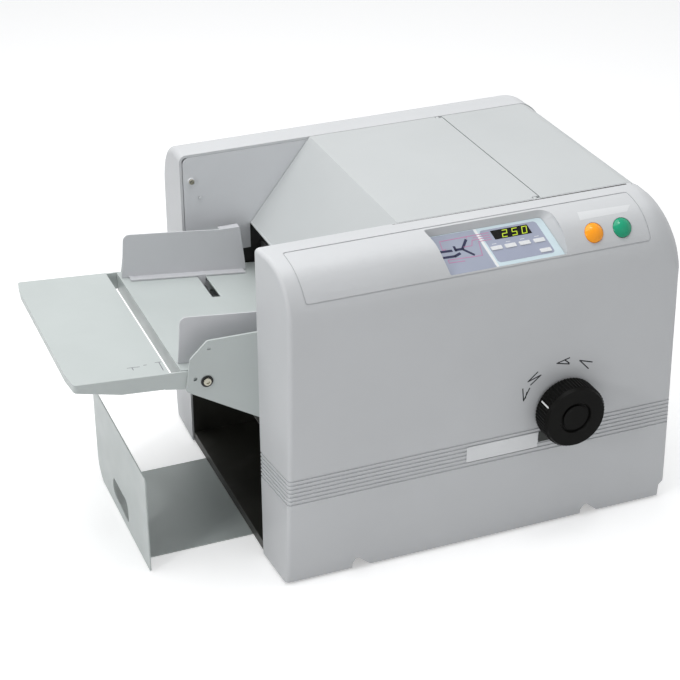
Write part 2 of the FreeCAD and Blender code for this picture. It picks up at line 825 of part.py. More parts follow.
def rubber_feet():
    """Four feet under the pan, each with a rounded lower edge."""
    feet = []
    for x in foot_x:
        for y in (foot_y, machine_depth - foot_y):
            height = base_top - base_sheet - ground
            foot = Part.makeCylinder(foot_radius, height, Vector(x, y, ground))
            rim = [edge for edge in foot.Edges if edge.BoundBox.ZMax < ground + 0.1 and edge.Closed]
            feet.append(foot.makeChamfer(foot_chamfer, rim))
    return group(feet)


# --- hood --------------------------------------------------------------------------------------------
hood_y0 = front_mouth + hood_side_gap
hood_y1 = back_mouth - hood_side_gap
hinge_centre = (hood_split_x - hinge_back, cover_height - hinge_radius)


def front_hood():
    """Lid over the fold rollers: sloping front, flat top, skirts, and barrels for the hinge pins."""
    top, sheet = cover_height, hood_sheet
    slope = math.atan2(top - hood_edge_z, hood_crease_x - hood_edge_x)
    inner_crease = hood_crease_x + sheet * math.tan(slope / 2.0)
    drop = sheet / math.sin(slope)
    outline = [(hood_edge_x, hood_edge_z), (hood_crease_x, top), (hood_split_x, top),
               (hood_split_x, top - sheet), (inner_crease, top - sheet), (hood_edge_x + drop, hood_edge_z)]
    lid = side_shape(outline, hood_y0, hood_y1)
    skirt_outline = [(hood_edge_x + 1.0, hood_edge_z), (hood_crease_x + 1.0, top - 1.0),
                     (hood_split_x - 16.0, top - 1.0), (hood_split_x - 16.0, top - hood_skirt),
                     (hood_crease_x + hood_skirt, top - hood_skirt), (hood_edge_x + hood_skirt, hood_edge_z)]
    skirt = side_shape(skirt_outline, hood_y0, hood_y0 + 2.0)
    lip = block(hood_edge_x, hood_edge_x + hood_lip, hood_y0, hood_y1, hood_edge_z, hood_edge_z + 2.0)
    lid = lid.multiFuse([skirt, mirrored(skirt), lip])
    lug_end = hood_y0 + hinge_lug + slide_gap
    notch_box = block(hinge_centre[0] - hinge_radius - slide_gap, hood_split_x + 1.0, hood_y0 - 1.0, lug_end,
                      top - 2 * hinge_radius - 2.0, top + 1.0)
    barrel = rod(hinge_centre, hinge_radius, lug_end, lug_end + hinge_barrel)
    lid = lid.cut(notch_box).cut(mirrored(notch_box)).multiFuse([barrel, mirrored(barrel)])
    bore = rod(hinge_centre, hinge_pin_radius + running_gap, lug_end - 1.0, lug_end + hinge_barrel - 2.0)
    return lid.cut(bore).cut(mirrored(bore)).removeSplitter()


def rear_hood():
    """Fixed hood: top, rounded end, closed end wall with the vents and the inlet's opening."""
    start, top, end = hood_split_x + hood_split_gap, cover_height, hood_end_x
    bend = end - hood_bend_x
    shells = []
    for shrink in (0.0, hood_sheet):
        face = side_outline(start, end - shrink, 0.0, top - shrink, bend - shrink, hood_round_z - shrink, hood_y0)
        shells.append(face.extrude(Vector(0, hood_y1 - hood_y0, 0)))
    hood = shells[0].cut(shells[1])
    hood = hood.cut(block(start - 1, start + 1, hood_y0 - 1, hood_y1 + 1, -1, top - hood_sheet - 0.01))
    hood = hood.cut(block(0, end + 1, hood_y0 - 1, hood_y1 + 1, -1, rear_hood_foot))
    lug = rod(hinge_centre, hinge_radius, hood_y0, hood_y0 + hinge_lug)
    arm = block(hinge_centre[0], start + 6.0, hood_y0, hood_y0 + hinge_lug,
                top - 2 * hinge_radius, hinge_centre[1] + hinge_arm_rise)
    rib = block(start, hood_bend_x, hood_y0, hood_y0 + 2.0, top - hood_skirt, top - 1.0)
    hood = hood.multiFuse([lug, arm, rib, mirrored(lug), mirrored(arm), mirrored(rib)])
    bore = rod(hinge_centre, hinge_pin_radius, hood_y0 - 1, hood_y0 + hinge_lug + 1)
    hood = hood.cut(bore).cut(mirrored(bore))
    y0, y1, z0, z1 = inlet_opening
    hood = hood.cut(block(end - 10, end + 5, y0, y1, z0, z1))
    slots = [block(end - 10, end + 5, vent_start + vent_pitch * i, vent_start + vent_pitch * i + vent_width,
                   vent_low, vent_high) for i in range(vent_count)]
    return hood.cut(group(slots)).removeSplitter()


def hood_hinge_pins():
    pin = rod(hinge_centre, hinge_pin_radius, hood_y0, hood_y0 + hinge_lug + hinge_barrel - 3.0)
    return group([pin, mirrored(pin)])


def power_inlet():
    """Appliance inlet in the closed end: flange, well and three blades."""
    y0, y1, z0, z1 = inlet_opening
    gap = running_gap
    end = hood_end_x
    body = block(end - 24.0, end, y0 + gap, y1 - gap, z0 + gap, z1 - gap)
    flange = block(end, end + 2.0, y0 - 2.5, y1 + 2.5, z0 - 2.5, z1 + 2.5)
    well = block(end - 16.0, end + 3.0, y0 + 3.0, y1 - 3.0, z0 + 3.5, z1 - 3.5)
    shell = body.fuse(flange).cut(well)
    middle_z = (z0 + z1) / 2.0
    centre = (y0 + y1) / 2.0
    blades = [block(end - 17.0, end - 3.0, centre + shift - 1.0, centre + shift + 1.0,
                    middle_z + lift - 2.0, middle_z + lift + 2.0)
              for shift, lift in ((-7.0, -1.5), (0.0, 2.0), (7.0, -1.5))]
    return fuse([shell] + blades)


# --- feed table and infeed -----------------------------------------------------------------------------
def infeed_z(x):
    """Height of the infeed plate's upper face."""
    share = (x - infeed_left_x) / (infeed_right_x - infeed_left_x)
    return infeed_left_z + share * (infeed_right_z - infeed_left_z)


def table_z(x):
    share = (x - table_tip_x) / (table_root_x - table_tip_x)
    return table_tip_z + share * (table_root_z - table_tip_z)


def front_bracket():
    """Steel bracket that reaches out of the machine and carries the folding feed table."""
    y0, y1 = front_mouth, front_mouth + bracket_sheet
    points = [Vector(x, y0, z) for x, z in bracket_outline]
    face = Part.Face(rounded_outline(points, [5.0, 4.0, 4.0, 0, 0, 0, 0]))
    plate = face.extrude(Vector(0, bracket_sheet, 0))
    holes = [rod(table_pivot, pivot_radius + running_gap, y0 - 1, y1 + 1),
             rod(bracket_hole, bracket_hole_radius, y0 - 1, y1 + 1),
             rod(bracket_tie, tie_radius + running_gap, y0 - 1, y1 + 1),
             rod(guide_rail_centre, rail_radius + running_gap, y0 - 1, y1 + 1)]
    tab_slot = block(bracket_slot[0] - 2.0, bracket_slot[0] + 2.0, y0 - 1, y1 + 1,
                     bracket_slot[1] - 0.8, bracket_slot[1] + 0.8)
    return plate.cut(group(holes)).cut(tab_slot)


def table_pivots():
    """Shoulder screws that the feed table turns on: head outside, shank through arm and bracket."""
    y0 = front_mouth
    head = rod(table_pivot, pivot_head_radius, y0 - 3.0, y0)
    socket = hexagon(table_pivot, 2.2, y0 - 3.5, y0 - 1.2)
    washer = rod(table_pivot, pivot_washer_radius, y0 - 1.0, y0)
    shank = rod(table_pivot, pivot_radius, y0, y0 + bracket_sheet + table_arm_sheet + 3.0)
    nut = hexagon(table_pivot, pivot_radius + 3.0, y0 + bracket_sheet + table_arm_sheet + 1.0,
                  y0 + bracket_sheet + table_arm_sheet + 4.0)
    screw = fuse([head, washer, shank, nut]).cut(socket)
    return group([screw, mirrored(screw)])


def feed_table():
    """Folding extension: sloping deck with a turned-down rim, carried by two arms on the pivots."""
    arm_y = front_mouth + bracket_sheet + fit_gap
    far_x, near_x = table_tip_x, table_root_x - table_gap_x
    corner = 26.0
    plan = [Vector(near_x, arm_y, 0), Vector(near_x, machine_depth - arm_y, 0),
            Vector(far_x + 3.0, machine_depth - arm_y, 0), Vector(far_x, machine_depth - arm_y - corner, 0),
            Vector(far_x, arm_y + corner, 0), Vector(far_x + 3.0, arm_y, 0)]
    plan_face = Part.Face(rounded_outline(plan, [0, 0, 4.0, 40.0, 40.0, 4.0]))
    column = plan_face.extrude(Vector(0, 0, cover_height))
    inner_plan = [Vector(near_x - table_sheet, arm_y + table_arm_sheet, 0),
                  Vector(near_x - table_sheet, machine_depth - arm_y - table_arm_sheet, 0),
                  Vector(far_x + table_sheet + 1.0, machine_depth - arm_y - table_arm_sheet, 0),
                  Vector(far_x + table_sheet + 1.0, arm_y + table_arm_sheet, 0)]
    inner = Part.Face(rounded_outline(inner_plan, [0, 0, 4.0, 4.0]))
    inner = inner.extrude(Vector(0, 0, cover_height))
    side = [(far_x, table_z(far_x)), (near_x, table_z(near_x)), (near_x, table_z(near_x) - 18.0),
            (table_knee_x, table_z(table_knee_x) - 17.5), (far_x, table_z(far_x) - 8.5)]
    rim = side_shape(side, arm_y - 1, machine_depth - arm_y + 1).common(column.cut(inner))
    deck_side = [(far_x, table_z(far_x)), (near_x, table_z(near_x)),
                 (near_x, table_z(near_x) - table_sheet), (far_x, table_z(far_x) - table_sheet)]
    deck = side_shape(deck_side, arm_y - 1, machine_depth - arm_y + 1).common(column)
    ribs = [side_shape([(far_x + 2, table_z(far_x) - 1), (near_x - 1, table_z(near_x) - 1),
                        (near_x - 1, table_z(near_x) - 12.0), (far_x + 2, table_z(far_x) - 6.0)],
                       y - 1.0, y + 1.0) for y in (middle_y - 60.0, middle_y, middle_y + 60.0)]
    px, pz = table_pivot
    arm_side = [(near_x - 6.0, table_z(near_x)), (near_x + 14.0, table_z(near_x + 14.0)), (px, pz + 9.0),
                (px, pz - 9.0), (px - 14.0, pz - 8.0), (near_x - 6.0, table_z(near_x) - 18.0)]
    arm = side_shape(arm_side, arm_y, arm_y + table_arm_sheet)
    arm = arm.fuse(rod(table_pivot, 9.0, arm_y, arm_y + table_arm_sheet))
    arm = arm.cut(rod(table_pivot, pivot_radius + running_gap, arm_y - 1, arm_y + table_arm_sheet + 1))
    return fuse([rim, deck, arm, mirrored(arm)] + ribs)


def infeed_plate():
    """Sloping plate under the stack, with the slots for the side guides and its flanges."""
    wide_y, narrow_y = front_mouth + bracket_sheet, front_mouth + bracket_sheet + infeed_side_gap
    left, step, right = infeed_left_x, table_pivot[0] + infeed_step, infeed_right_x
    profile = [(left, infeed_z(left)), (right, infeed_z(right)),
               (right, infeed_z(right) - infeed_sheet), (left, infeed_z(left) - infeed_sheet)]
    sheet = side_shape(profile, wide_y, machine_depth - wide_y)
    relief = block(left - 1, step, wide_y - 1, narrow_y, 150, 300)
    sheet = sheet.cut(relief).cut(mirrored(relief))
    skirt = block(left, left + infeed_sheet, narrow_y, machine_depth - narrow_y,
                  infeed_z(left) - infeed_skirt, infeed_z(left) - 0.3)
    flange = side_shape([(step, infeed_z(step) - 0.5), (45.0, infeed_z(45.0) - 0.5),
                         (45.0, infeed_z(45.0) - 14.0), (step, infeed_z(step) - 14.0)],
                        wide_y, wide_y + infeed_sheet)
    back = block(right - infeed_sheet, right, separator_y0 - 6.0, separator_y1 + 6.0,
                 shelf_z, infeed_z(right) - 0.3)
    shelf = block(right - infeed_sheet, right + 30.0, separator_y0 - 6.0, separator_y1 + 6.0,
                  shelf_z, shelf_z + infeed_sheet)
    plate = fuse([sheet, skirt, flange, mirrored(flange), back, shelf])
    x0, x1 = guide_slot_x
    reach = guide_front_face - guide_outward - 6.0
    slot = block(x0, x1, reach, guide_front_face + guide_inward + 14.0, 180, 260)
    rail_hole = rod(guide_rail_centre, rail_radius + running_gap, front_mouth, back_mouth)
    return plate.cut(slot).cut(mirrored(slot)).cut(rail_hole)


guide_front_face = middle_y - guide_spacing / 2.0
rail_x = (guide_slot_x[0] + guide_slot_x[1]) / 2.0
guide_rail_centre = (rail_x, infeed_z(rail_x) - infeed_sheet - rail_drop)
bracket_outline = [(-79.0, 224.0), (-73.0, 260.6), (-54.0, 278.8), (45.0, 277.5), (45.0, 180.0),
                   (36.0, 154.0), (-2.6, 177.7)]


def front_guide():
    """Side guide for the stack: upright plate, foot on the infeed plate, hub on the cross rail."""
    face_y = guide_front_face
    left, right = guide_left_x, guide_right_x
    gap = 0.5
    top_left, top_right = left + guide_lean_left, right - guide_lean_right
    points = [(left, infeed_z(left) + gap), (top_left, infeed_z(left) + guide_height_left),
              (6.0, guide_top_z + 4.5), (36.0, guide_top_z + 0.5), (top_right, guide_top_z),
              (right, infeed_z(right) + gap)]
    outline = rounded_outline([Vector(x, face_y - guide_sheet, z) for x, z in points],
                              [0, 7.0, 12.0, 0, 5.0, 0])
    plate = Part.Face(outline).extrude(Vector(0, guide_sheet, 0))
    foot = side_shape([(left + 8.0, infeed_z(left + 8.0) + gap), (right - 4.0, infeed_z(right - 4.0) + gap),
                       (right - 4.0, infeed_z(right - 4.0) + gap + guide_sheet),
                       (left + 8.0, infeed_z(left + 8.0) + gap + guide_sheet)],
                      face_y - guide_sheet, face_y + guide_foot)
    tab = block(top_right - guide_tab_length, top_right - fit_gap, face_y - guide_sheet - guide_tab, face_y,
                guide_top_z - guide_sheet, guide_top_z)
    x0, x1 = guide_slot_x[0] + slide_gap, guide_slot_x[1] - slide_gap
    rail_z = guide_rail_centre[1]
    neck = block(x0, x1, face_y - guide_sheet, face_y + guide_foot, rail_z, infeed_z(rail_x) + gap + 1.5)
    hub = block(x0 - 4.0, x1 + 4.0, face_y - guide_sheet, face_y + guide_foot,
                rail_z - 9.0, rail_z + 9.0)
    hub = hub.fuse(neck).cut(rod(guide_rail_centre, rail_radius + running_gap, 0, machine_depth))
    return fuse([plate, foot, tab, hub])


def guide_rail():
    return rod(guide_rail_centre, rail_radius, front_mouth, back_mouth)


def feed_tyres():
    """Three rubber tyres that pull the top sheet off the stack."""
    tyres = []
    for step in (-1, 0, 1):
        centre_y = middle_y + step * feed_tyre_pitch
        tyres.append(ring(feed_centre, feed_radius, feed_hub_radius, centre_y - feed_tyre_width / 2.0,
                          centre_y + feed_tyre_width / 2.0))
    return group(tyres)


def feed_shaft():
    """Shaft with the three hubs that the tyres sit on."""
    shaft = rod(feed_centre, feed_shaft_radius, gear_front - 2.0, back_mouth + side_plate + 2.0)
    hubs = [rod(feed_centre, feed_hub_radius, middle_y + step * feed_tyre_pitch - feed_tyre_width / 2.0 - 2.0,
                middle_y + step * feed_tyre_pitch + feed_tyre_width / 2.0 + 2.0) for step in (-1, 0, 1)]
    return fuse([shaft] + hubs)


pad_top = feed_centre[1] - feed_radius - fit_gap


def separator_pad():
    """Friction pad under the middle feed tyre."""
    x0, x1 = feed_centre[0] - 9.0, feed_centre[0] + 9.0
    return block(x0, x1, separator_y0 + 6.0, separator_y1 - 6.0, pad_top - pad_thickness, pad_top)


def separator_holder():
    """Sprung holder of the pad, with a ramp towards the fold rollers."""
    top = pad_top - pad_thickness
    low = top - holder_height
    x0, x1 = infeed_right_x + fit_gap, feed_centre[0] + 14.0
    ramp_x = feed_centre[0] + 9.2
    profile = [(x0, low), (x0, top), (ramp_x, top), (ramp_x, top + 2.0), (x1, top + 1.0), (x1, low)]
    return side_shape(profile, separator_y0, separator_y1)


def separator_spring():
    """Leaf spring, bent twice, that presses the pad holder up from its shelf."""
    low, high = shelf_z + infeed_sheet, pad_top - pad_thickness - holder_height
    half = leaf_thickness / 2.0
    left, right = feed_centre[0] - leaf_reach, feed_centre[0] + leaf_reach
    bends = [(right, low + half), (left, high - half)]
    span = math.hypot(bends[1][0] - bends[0][0], bends[1][1] - bends[0][1])
    heading = math.degrees(math.atan2(bends[1][1] - bends[0][1], bends[1][0] - bends[0][0]))
    y0, y1 = middle_y - leaf_width / 2.0, middle_y + leaf_width / 2.0
    pieces = [block(left, right, y0, y1, low, low + leaf_thickness),
              band(bends[0], heading, (0.0, span), (-half, half), y0, y1),
              block(left, right - leaf_reach / 2.0, y0, y1, high - leaf_thickness, high)]
    pieces += [rod(bend, half, y0, y1) for bend in bends]
    return fuse(pieces)


# --- fold rollers and gears ----------------------------------------------------------------------------
def fold_roller(number):
    """Knurled steel roller with turned journals; the second one also carries the drive pulley."""
    centre = roller_centres[number]
    body_y0, body_y1 = front_mouth + roller_end_gap, back_mouth - roller_end_gap
    rear_end = pulley_front + pulley_width + 3.0 if number == 2 else back_mouth + side_plate + 2.0
    journal = rod(centre, journal_radius, gear_front - 2.0, rear_end)
    rims = [rod(centre, roller_radius, body_y0, body_y1)]
    roller = fuse(rims + [journal])
    grooves_at = [body_y0 + (body_y1 - body_y0) * share for share in (0.2, 0.4, 0.6, 0.8)]
    cuts = [ring(centre, roller_radius + 1, roller_radius - 1.0, y - 2.0, y + 2.0) for y in grooves_at]
    return roller.cut(group(cuts))


def roller_bushes():
    """Flanged bushes of the fold rollers and the feed shaft, in both side plates."""
    bushes = []
    for spot in bearing_spots:
        inner = journal_radius + running_gap
        sleeve = ring(spot, bush_radius, inner, front_mouth - side_plate - 1.5, front_mouth + 1.5)
        flange = ring(spot, bush_radius + 1.5, inner, front_mouth - side_plate - 1.5,
                      front_mouth - side_plate)
        bush = sleeve.fuse(flange).removeSplitter()
        bushes += [bush, mirrored(bush)]
    return group(bushes)


def toothed_wheel(centre, teeth, module, phase, bore, y0, y1):
    """Spur gear with straight-flanked teeth; phase is the direction of one tooth in degrees."""
    radius = module * teeth / 2.0
    root, tip = radius - 1.25 * module, radius + 0.9 * module
    root_half = math.degrees(0.9 * module / root)
    tip_half = math.degrees(0.36 * module / tip)
    points = []
    for tooth in range(teeth):
        middle = phase + 360.0 * tooth / teeth
        for reach, shift in ((root, -root_half), (tip, -tip_half), (tip, tip_half), (root, root_half)):
            points.append(polar(centre, reach, middle + shift))
    wheel = side_shape(points, y0, y1)
    return wheel.cut(rod(centre, bore, y0 - 1, y1 + 1))


def meshing_phase(centre, teeth, phase, mate_centre, mate_teeth):
    """Direction of a tooth of the mate, so that its gap faces the tooth of the first wheel."""
    contact = math.degrees(math.atan2(mate_centre[1] - centre[1], mate_centre[0] - centre[0]))
    gap = contact + 180.0 - (phase - contact) * teeth / mate_teeth
    return gap + 180.0 / mate_teeth


gear_phases = {2: 0.0}
for number in roller_angles:
    gear_phases[number] = meshing_phase(roller_hub, roller_teeth, gear_phases[2],
                                        roller_centres[number], roller_teeth)
idler_phase = meshing_phase(roller_centres[1], roller_teeth, gear_phases[1], idler_centre, idler_teeth)
feed_phase = meshing_phase(idler_centre, idler_teeth, idler_phase, feed_centre, roller_teeth)


def fold_gear(number):
    return toothed_wheel(roller_centres[number], roller_teeth, gear_module, gear_phases[number],
                         journal_radius + running_gap, gear_front, gear_front + gear_width)


def idler_gear():
    return toothed_wheel(idler_centre, idler_teeth, gear_module, idler_phase,
                         idler_stud_radius + running_gap, gear_front, gear_front + gear_width)


def feed_gear():
    return toothed_wheel(feed_centre, roller_teeth, gear_module, feed_phase,
                         feed_shaft_radius + running_gap, gear_front, gear_front + gear_width)


# --- motor and belt -----------------------------------------------------------------------------------
def motor():
    """Motor on the rear side plate: can, end bell and nose."""
    y1 = back_mouth
    can = rod(motor_centre, motor_radius, y1 - motor_length + 12.0, y1)
    bell = rod(motor_centre, motor_radius - 4.0, y1 - motor_length, y1 - motor_length + 12.0)
    nose = rod(motor_centre, motor_nose_radius, y1, y1 + side_plate + 1.5)
    whole = fuse([can, bell, nose])
    bore_start = y1 - 30.0
    return whole.cut(rod(motor_centre, motor_shaft_radius + running_gap, bore_start, y1 + 10.0))


def motor_pulley():
    """Motor shaft with its small flanged pulley."""
    y0, y1 = pulley_front, pulley_front + pulley_width
    shaft = rod(motor_centre, motor_shaft_radius, back_mouth - 29.0, y1 + 2.0)
    return fuse([shaft] + pulley_rims(motor_centre, motor_pulley_radius, y0, y1))


def pulley_rims(centre, radius, y0, y1):
    """Body of a belt pulley with a flange at each end."""
    return [rod(centre, radius, y0, y1), rod(centre, radius + belt_thickness + 0.8, y0, y0 + 1.0),
            rod(centre, radius + belt_thickness + 0.8, y1 - 1.0, y1)]


def drive_pulley():
    """Large pulley on the driven fold roller, lightened by round holes."""
    y0, y1 = pulley_front, pulley_front + pulley_width
    wheel = fuse(pulley_rims(roller_hub, drive_pulley_radius, y0, y1))
    wheel = wheel.cut(rod(roller_hub, journal_radius + running_gap, y0 - 1, y1 + 1))
    holes = [rod(polar(roller_hub, 17.0, 60.0 * i), 5.0, y0 - 1, y1 + 1) for i in range(6)]
    return wheel.cut(group(holes))


def belt_outline(big, big_radius, small, small_radius, y):
    """Closed loop of two arcs and the two outer tangents."""
    dx, dz = small[0] - big[0], small[1] - big[1]
    heading = math.degrees(math.atan2(dz, dx))
    spread = math.degrees(math.acos((big_radius - small_radius) / math.hypot(dx, dz)))

    def at(centre, radius, degrees):
        x, z = polar(centre, radius, degrees)
        return Vector(x, y, z)

    upper, lower = heading + spread, heading - spread
    edges = [Part.makeLine(at(big, big_radius, lower), at(small, small_radius, lower)),
             Part.Arc(at(small, small_radius, lower), at(small, small_radius, heading),
                      at(small, small_radius, upper)).toShape(),
             Part.makeLine(at(small, small_radius, upper), at(big, big_radius, upper)),
             Part.Arc(at(big, big_radius, upper), at(big, big_radius, heading + 180.0),
                      at(big, big_radius, lower)).toShape()]
    return Part.Face(Part.Wire(edges))


def drive_belt():
    y0, width = pulley_front + 1.3, pulley_width - 2.6
    loops = []
    for thickness in (belt_thickness + fit_gap, fit_gap):
        face = belt_outline(roller_hub, drive_pulley_radius + thickness, motor_centre,
                            motor_pulley_radius + thickness, y0)
        loops.append(face.extrude(Vector(0, width, 0)))
    return loops[0].cut(loops[1])


# --- fold plates, their stops and the selector -----------------------------------------------------------
def fold_plate(origin, degrees, start, length):
    """Two parallel sheets with flared lips, joined at the far end and along both sides."""
    half = plate_space / 2.0
    sheets = []
    for side in (1.0, -1.0):
        inner, outer = side * half, side * (half + plate_sheet)
        low, high = sorted((inner, outer))
        sheets.append(band(origin, degrees, (start, start + length), (low, high), front_mouth, back_mouth))
    end = band(origin, degrees, (start + length - plate_sheet, start + length), (-half - 0.1, half + 0.1),
               front_mouth, back_mouth)
    sheet = fuse(sheets + [end])
    windows = []
    for side_y in (middle_y - 62.0, middle_y, middle_y + 62.0):
        windows.append(band(origin, degrees, (start + 24.0, start + length - 18.0), (half - 0.2, half + 3.0),
                            side_y - 16.0, side_y + 16.0))
    return sheet.cut(group(windows))


def line_position(start, degrees, point):
    """Distance of a point along and across a line."""
    turn = math.radians(degrees)
    dx, dz = point[0] - start[0], point[1] - start[1]
    return (dx * math.cos(turn) + dz * math.sin(turn), -dx * math.sin(turn) + dz * math.cos(turn))


def rack(origin, degrees, middle, pitch_line, side, low, high, y0, y1):
    """Toothed edge facing the pinion, with one tooth at middle; low and high bound the teeth."""
    pitch = math.pi * pinion_module
    root = pitch_line + side * 1.25 * pinion_module
    tip = pitch_line - side * 0.9 * pinion_module
    first = math.ceil((low - middle) / pitch)
    last = math.floor((high - middle) / pitch)
    points = []
    for tooth in range(first, last + 1):
        centre = middle + tooth * pitch
        for across, shift in ((root, -0.98), (tip, -0.38), (tip, 0.38), (root, 0.98)):
            points.append(placed_line(origin, degrees, centre + shift * pinion_module, across))
    back = root + side * 1.0
    points.append(placed_line(origin, degrees, middle + last * pitch + pinion_module, back))
    points.append(placed_line(origin, degrees, middle + first * pitch - pinion_module, back))
    return side_shape(points, y0, y1)


def fold_stop(origin, degrees, at, travel, layer_y, side):
    """Stop bar in a fold plate, its pin through the side plate, and the toothed carrier."""
    half = stop_thickness / 2.0
    y0, y1 = layer_y, layer_y + rack_layer
    bar = band(origin, degrees, (at - stop_pin_radius, at + stop_height), (-half, half),
               front_mouth + 4.0, back_mouth - 4.0)
    pin = rod(placed_line(origin, degrees, at, 0.0), stop_pin_radius, layer_y, front_mouth + 5.0)
    along, across = line_position(origin, degrees, knob_centre)
    pitch_line = across + side * pinion_radius
    root = pitch_line + side * 1.25 * pinion_module
    low, high = sorted((along, along - travel))
    low, high = low - rack_spare, high + rack_spare
    teeth = rack(origin, degrees, along, pitch_line, side, low, high, y0, y1)
    bar_low, bar_high = min(low, at - carrier_half), max(high, at + carrier_half)
    spine = band(origin, degrees, (bar_low, bar_high), sorted((root, root + side * rack_spine)), y0, y1)
    arm = band(origin, degrees, (at - carrier_half, at + carrier_half),
               sorted((root + side * 1.0, side * 5.0)), y0, y1)
    return fuse([bar, pin, teeth, spine, arm])


def upper_stop():
    return fold_stop(upper_origin, upper_angle, upper_stop_at, stop_travel, upper_rack_y, 1.0)


def lower_stop():
    return fold_stop(lower_origin, lower_angle, lower_stop_at, -stop_travel, lower_rack_y, -1.0)


def selector_guides():
    """Headed posts on the side plate that keep the two racks against the pinion."""
    posts = []
    for origin, degrees, side, layer_y in ((upper_origin, upper_angle, 1.0, upper_rack_y),
                                           (lower_origin, lower_angle, -1.0, lower_rack_y)):
        along, across = line_position(origin, degrees, knob_centre)
        back = across + side * (pinion_radius + 1.25 * pinion_module + rack_spine + fit_gap)
        spot = placed_line(origin, degrees, along - side * guide_post_radius, back + side * guide_post_radius)
        post = rod(spot, guide_post_radius, layer_y - 1.0, front_mouth - side_plate)
        head = rod(spot, guide_post_radius + 2.5, layer_y - 2.5, layer_y - slide_gap)
        posts.append(post.fuse(head))
    return group(posts)


knob_back = -face_bulge - knob_gap
knob_front = knob_back - knob_depth


def selector_knob():
    """Round knob: knurled skirt, chamfered rim and a sunk disc in its face."""
    points = []
    for flute in range(knob_flutes):
        turn = 360.0 * flute / knob_flutes
        points.append(polar(knob_centre, knob_radius, turn))
        points.append(polar(knob_centre, knob_radius - knob_flute_depth, turn + 180.0 / knob_flutes))
    skirt = side_shape(points, knob_front + knob_rim, knob_back)
    rim = Part.makeCone(knob_radius - knob_flute_depth - 0.2, knob_radius - 3.0, knob_rim,
                        Vector(knob_centre[0], knob_front + knob_rim, knob_centre[1]), Vector(0, -1, 0))
    body = skirt.fuse(rim)
    dish = Part.makeCone(knob_dish_radius, knob_dish_radius - 1.5, knob_dish_depth,
                         Vector(knob_centre[0], knob_front, knob_centre[1]), y_axis)
    boss = rod(knob_centre, knob_dish_radius - 4.0, knob_front + 0.8, knob_front + knob_dish_depth)
    body = body.cut(dish.cut(boss))
    hollow = ring(knob_centre, knob_radius - 5.0, knob_shaft_radius + 6.0, knob_back - 12.0, knob_back + 1)
    bore = rod(knob_centre, knob_shaft_radius + running_gap, knob_back - 15.0, knob_back + 1)
    return body.cut(hollow).cut(bore)


def selector_shaft():
    """Shaft from the knob to the side plate, with a collar behind the cover."""
    shaft = rod(knob_centre, knob_shaft_radius, knob_back - 14.5, front_mouth + 2.0)
    collar = rod(knob_centre, knob_shaft_radius + 3.5, knob_bearing_end + fit_gap, knob_bearing_end + 5.0)
    return shaft.fuse(collar)


def selector_pinion():
    return toothed_wheel(knob_centre, pinion_teeth, pinion_module, 180.0 / pinion_teeth,
                         knob_shaft_radius + running_gap, upper_rack_y - 1.0, lower_rack_y + rack_layer + 1.0)


# --- delivery ---------------------------------------------------------------------------------------------
tongue_low = ground + 0.4


def delivery_stop():
    """Sheet stop with a finger hole, bent from the flat tongue that slides under the floor pan."""
    x0, x1 = stop_x, stop_x + stop_sheet
    corners = [(stop_front_y, tongue_low), (stop_back_y, tongue_low), (stop_back_y + 1.0, 78.0),
               (stop_back_y, stop_top), (stop_front_y, stop_top)]
    outline = rounded_outline([Vector(x0, y, z) for y, z in corners], [3.0, 26.0, 12.0, 3.0, 3.0])
    plate = Part.Face(outline).extrude(Vector(stop_sheet, 0, 0))
    y0, y1, z0, z1 = finger_hole
    hole = [Vector(x0 - 1, y0, z0), Vector(x0 - 1, y1, z0 + 4.0), Vector(x0 - 1, y1, z1),
            Vector(x0 - 1, y0, z1)]
    plate = plate.cut(Part.Face(rounded_outline(hole, [6.0, 11.0, 11.0, 11.0])).extrude(
        Vector(stop_sheet + 2, 0, 0)))
    half = tongue_width / 2.0
    tongue = block(x0, tongue_end_x, middle_y - half, middle_y + half, tongue_low, tongue_low + stop_sheet)
    return plate.fuse(tongue).removeSplitter()


def delivery_chute():
    """Bent sheet that leads folded sheets from the last rollers down to the tray."""
    top = [(chute_start_x, chute_start_z), (chute_knee_x, chute_knee_z), (chute_end_x, chute_end_z)]
    under = [(x + 0.6, z - chute_sheet) for x, z in reversed(top)]
    side = front_mouth + bay_wall + fit_gap
    return side_shape(top + under, side, machine_depth - side)


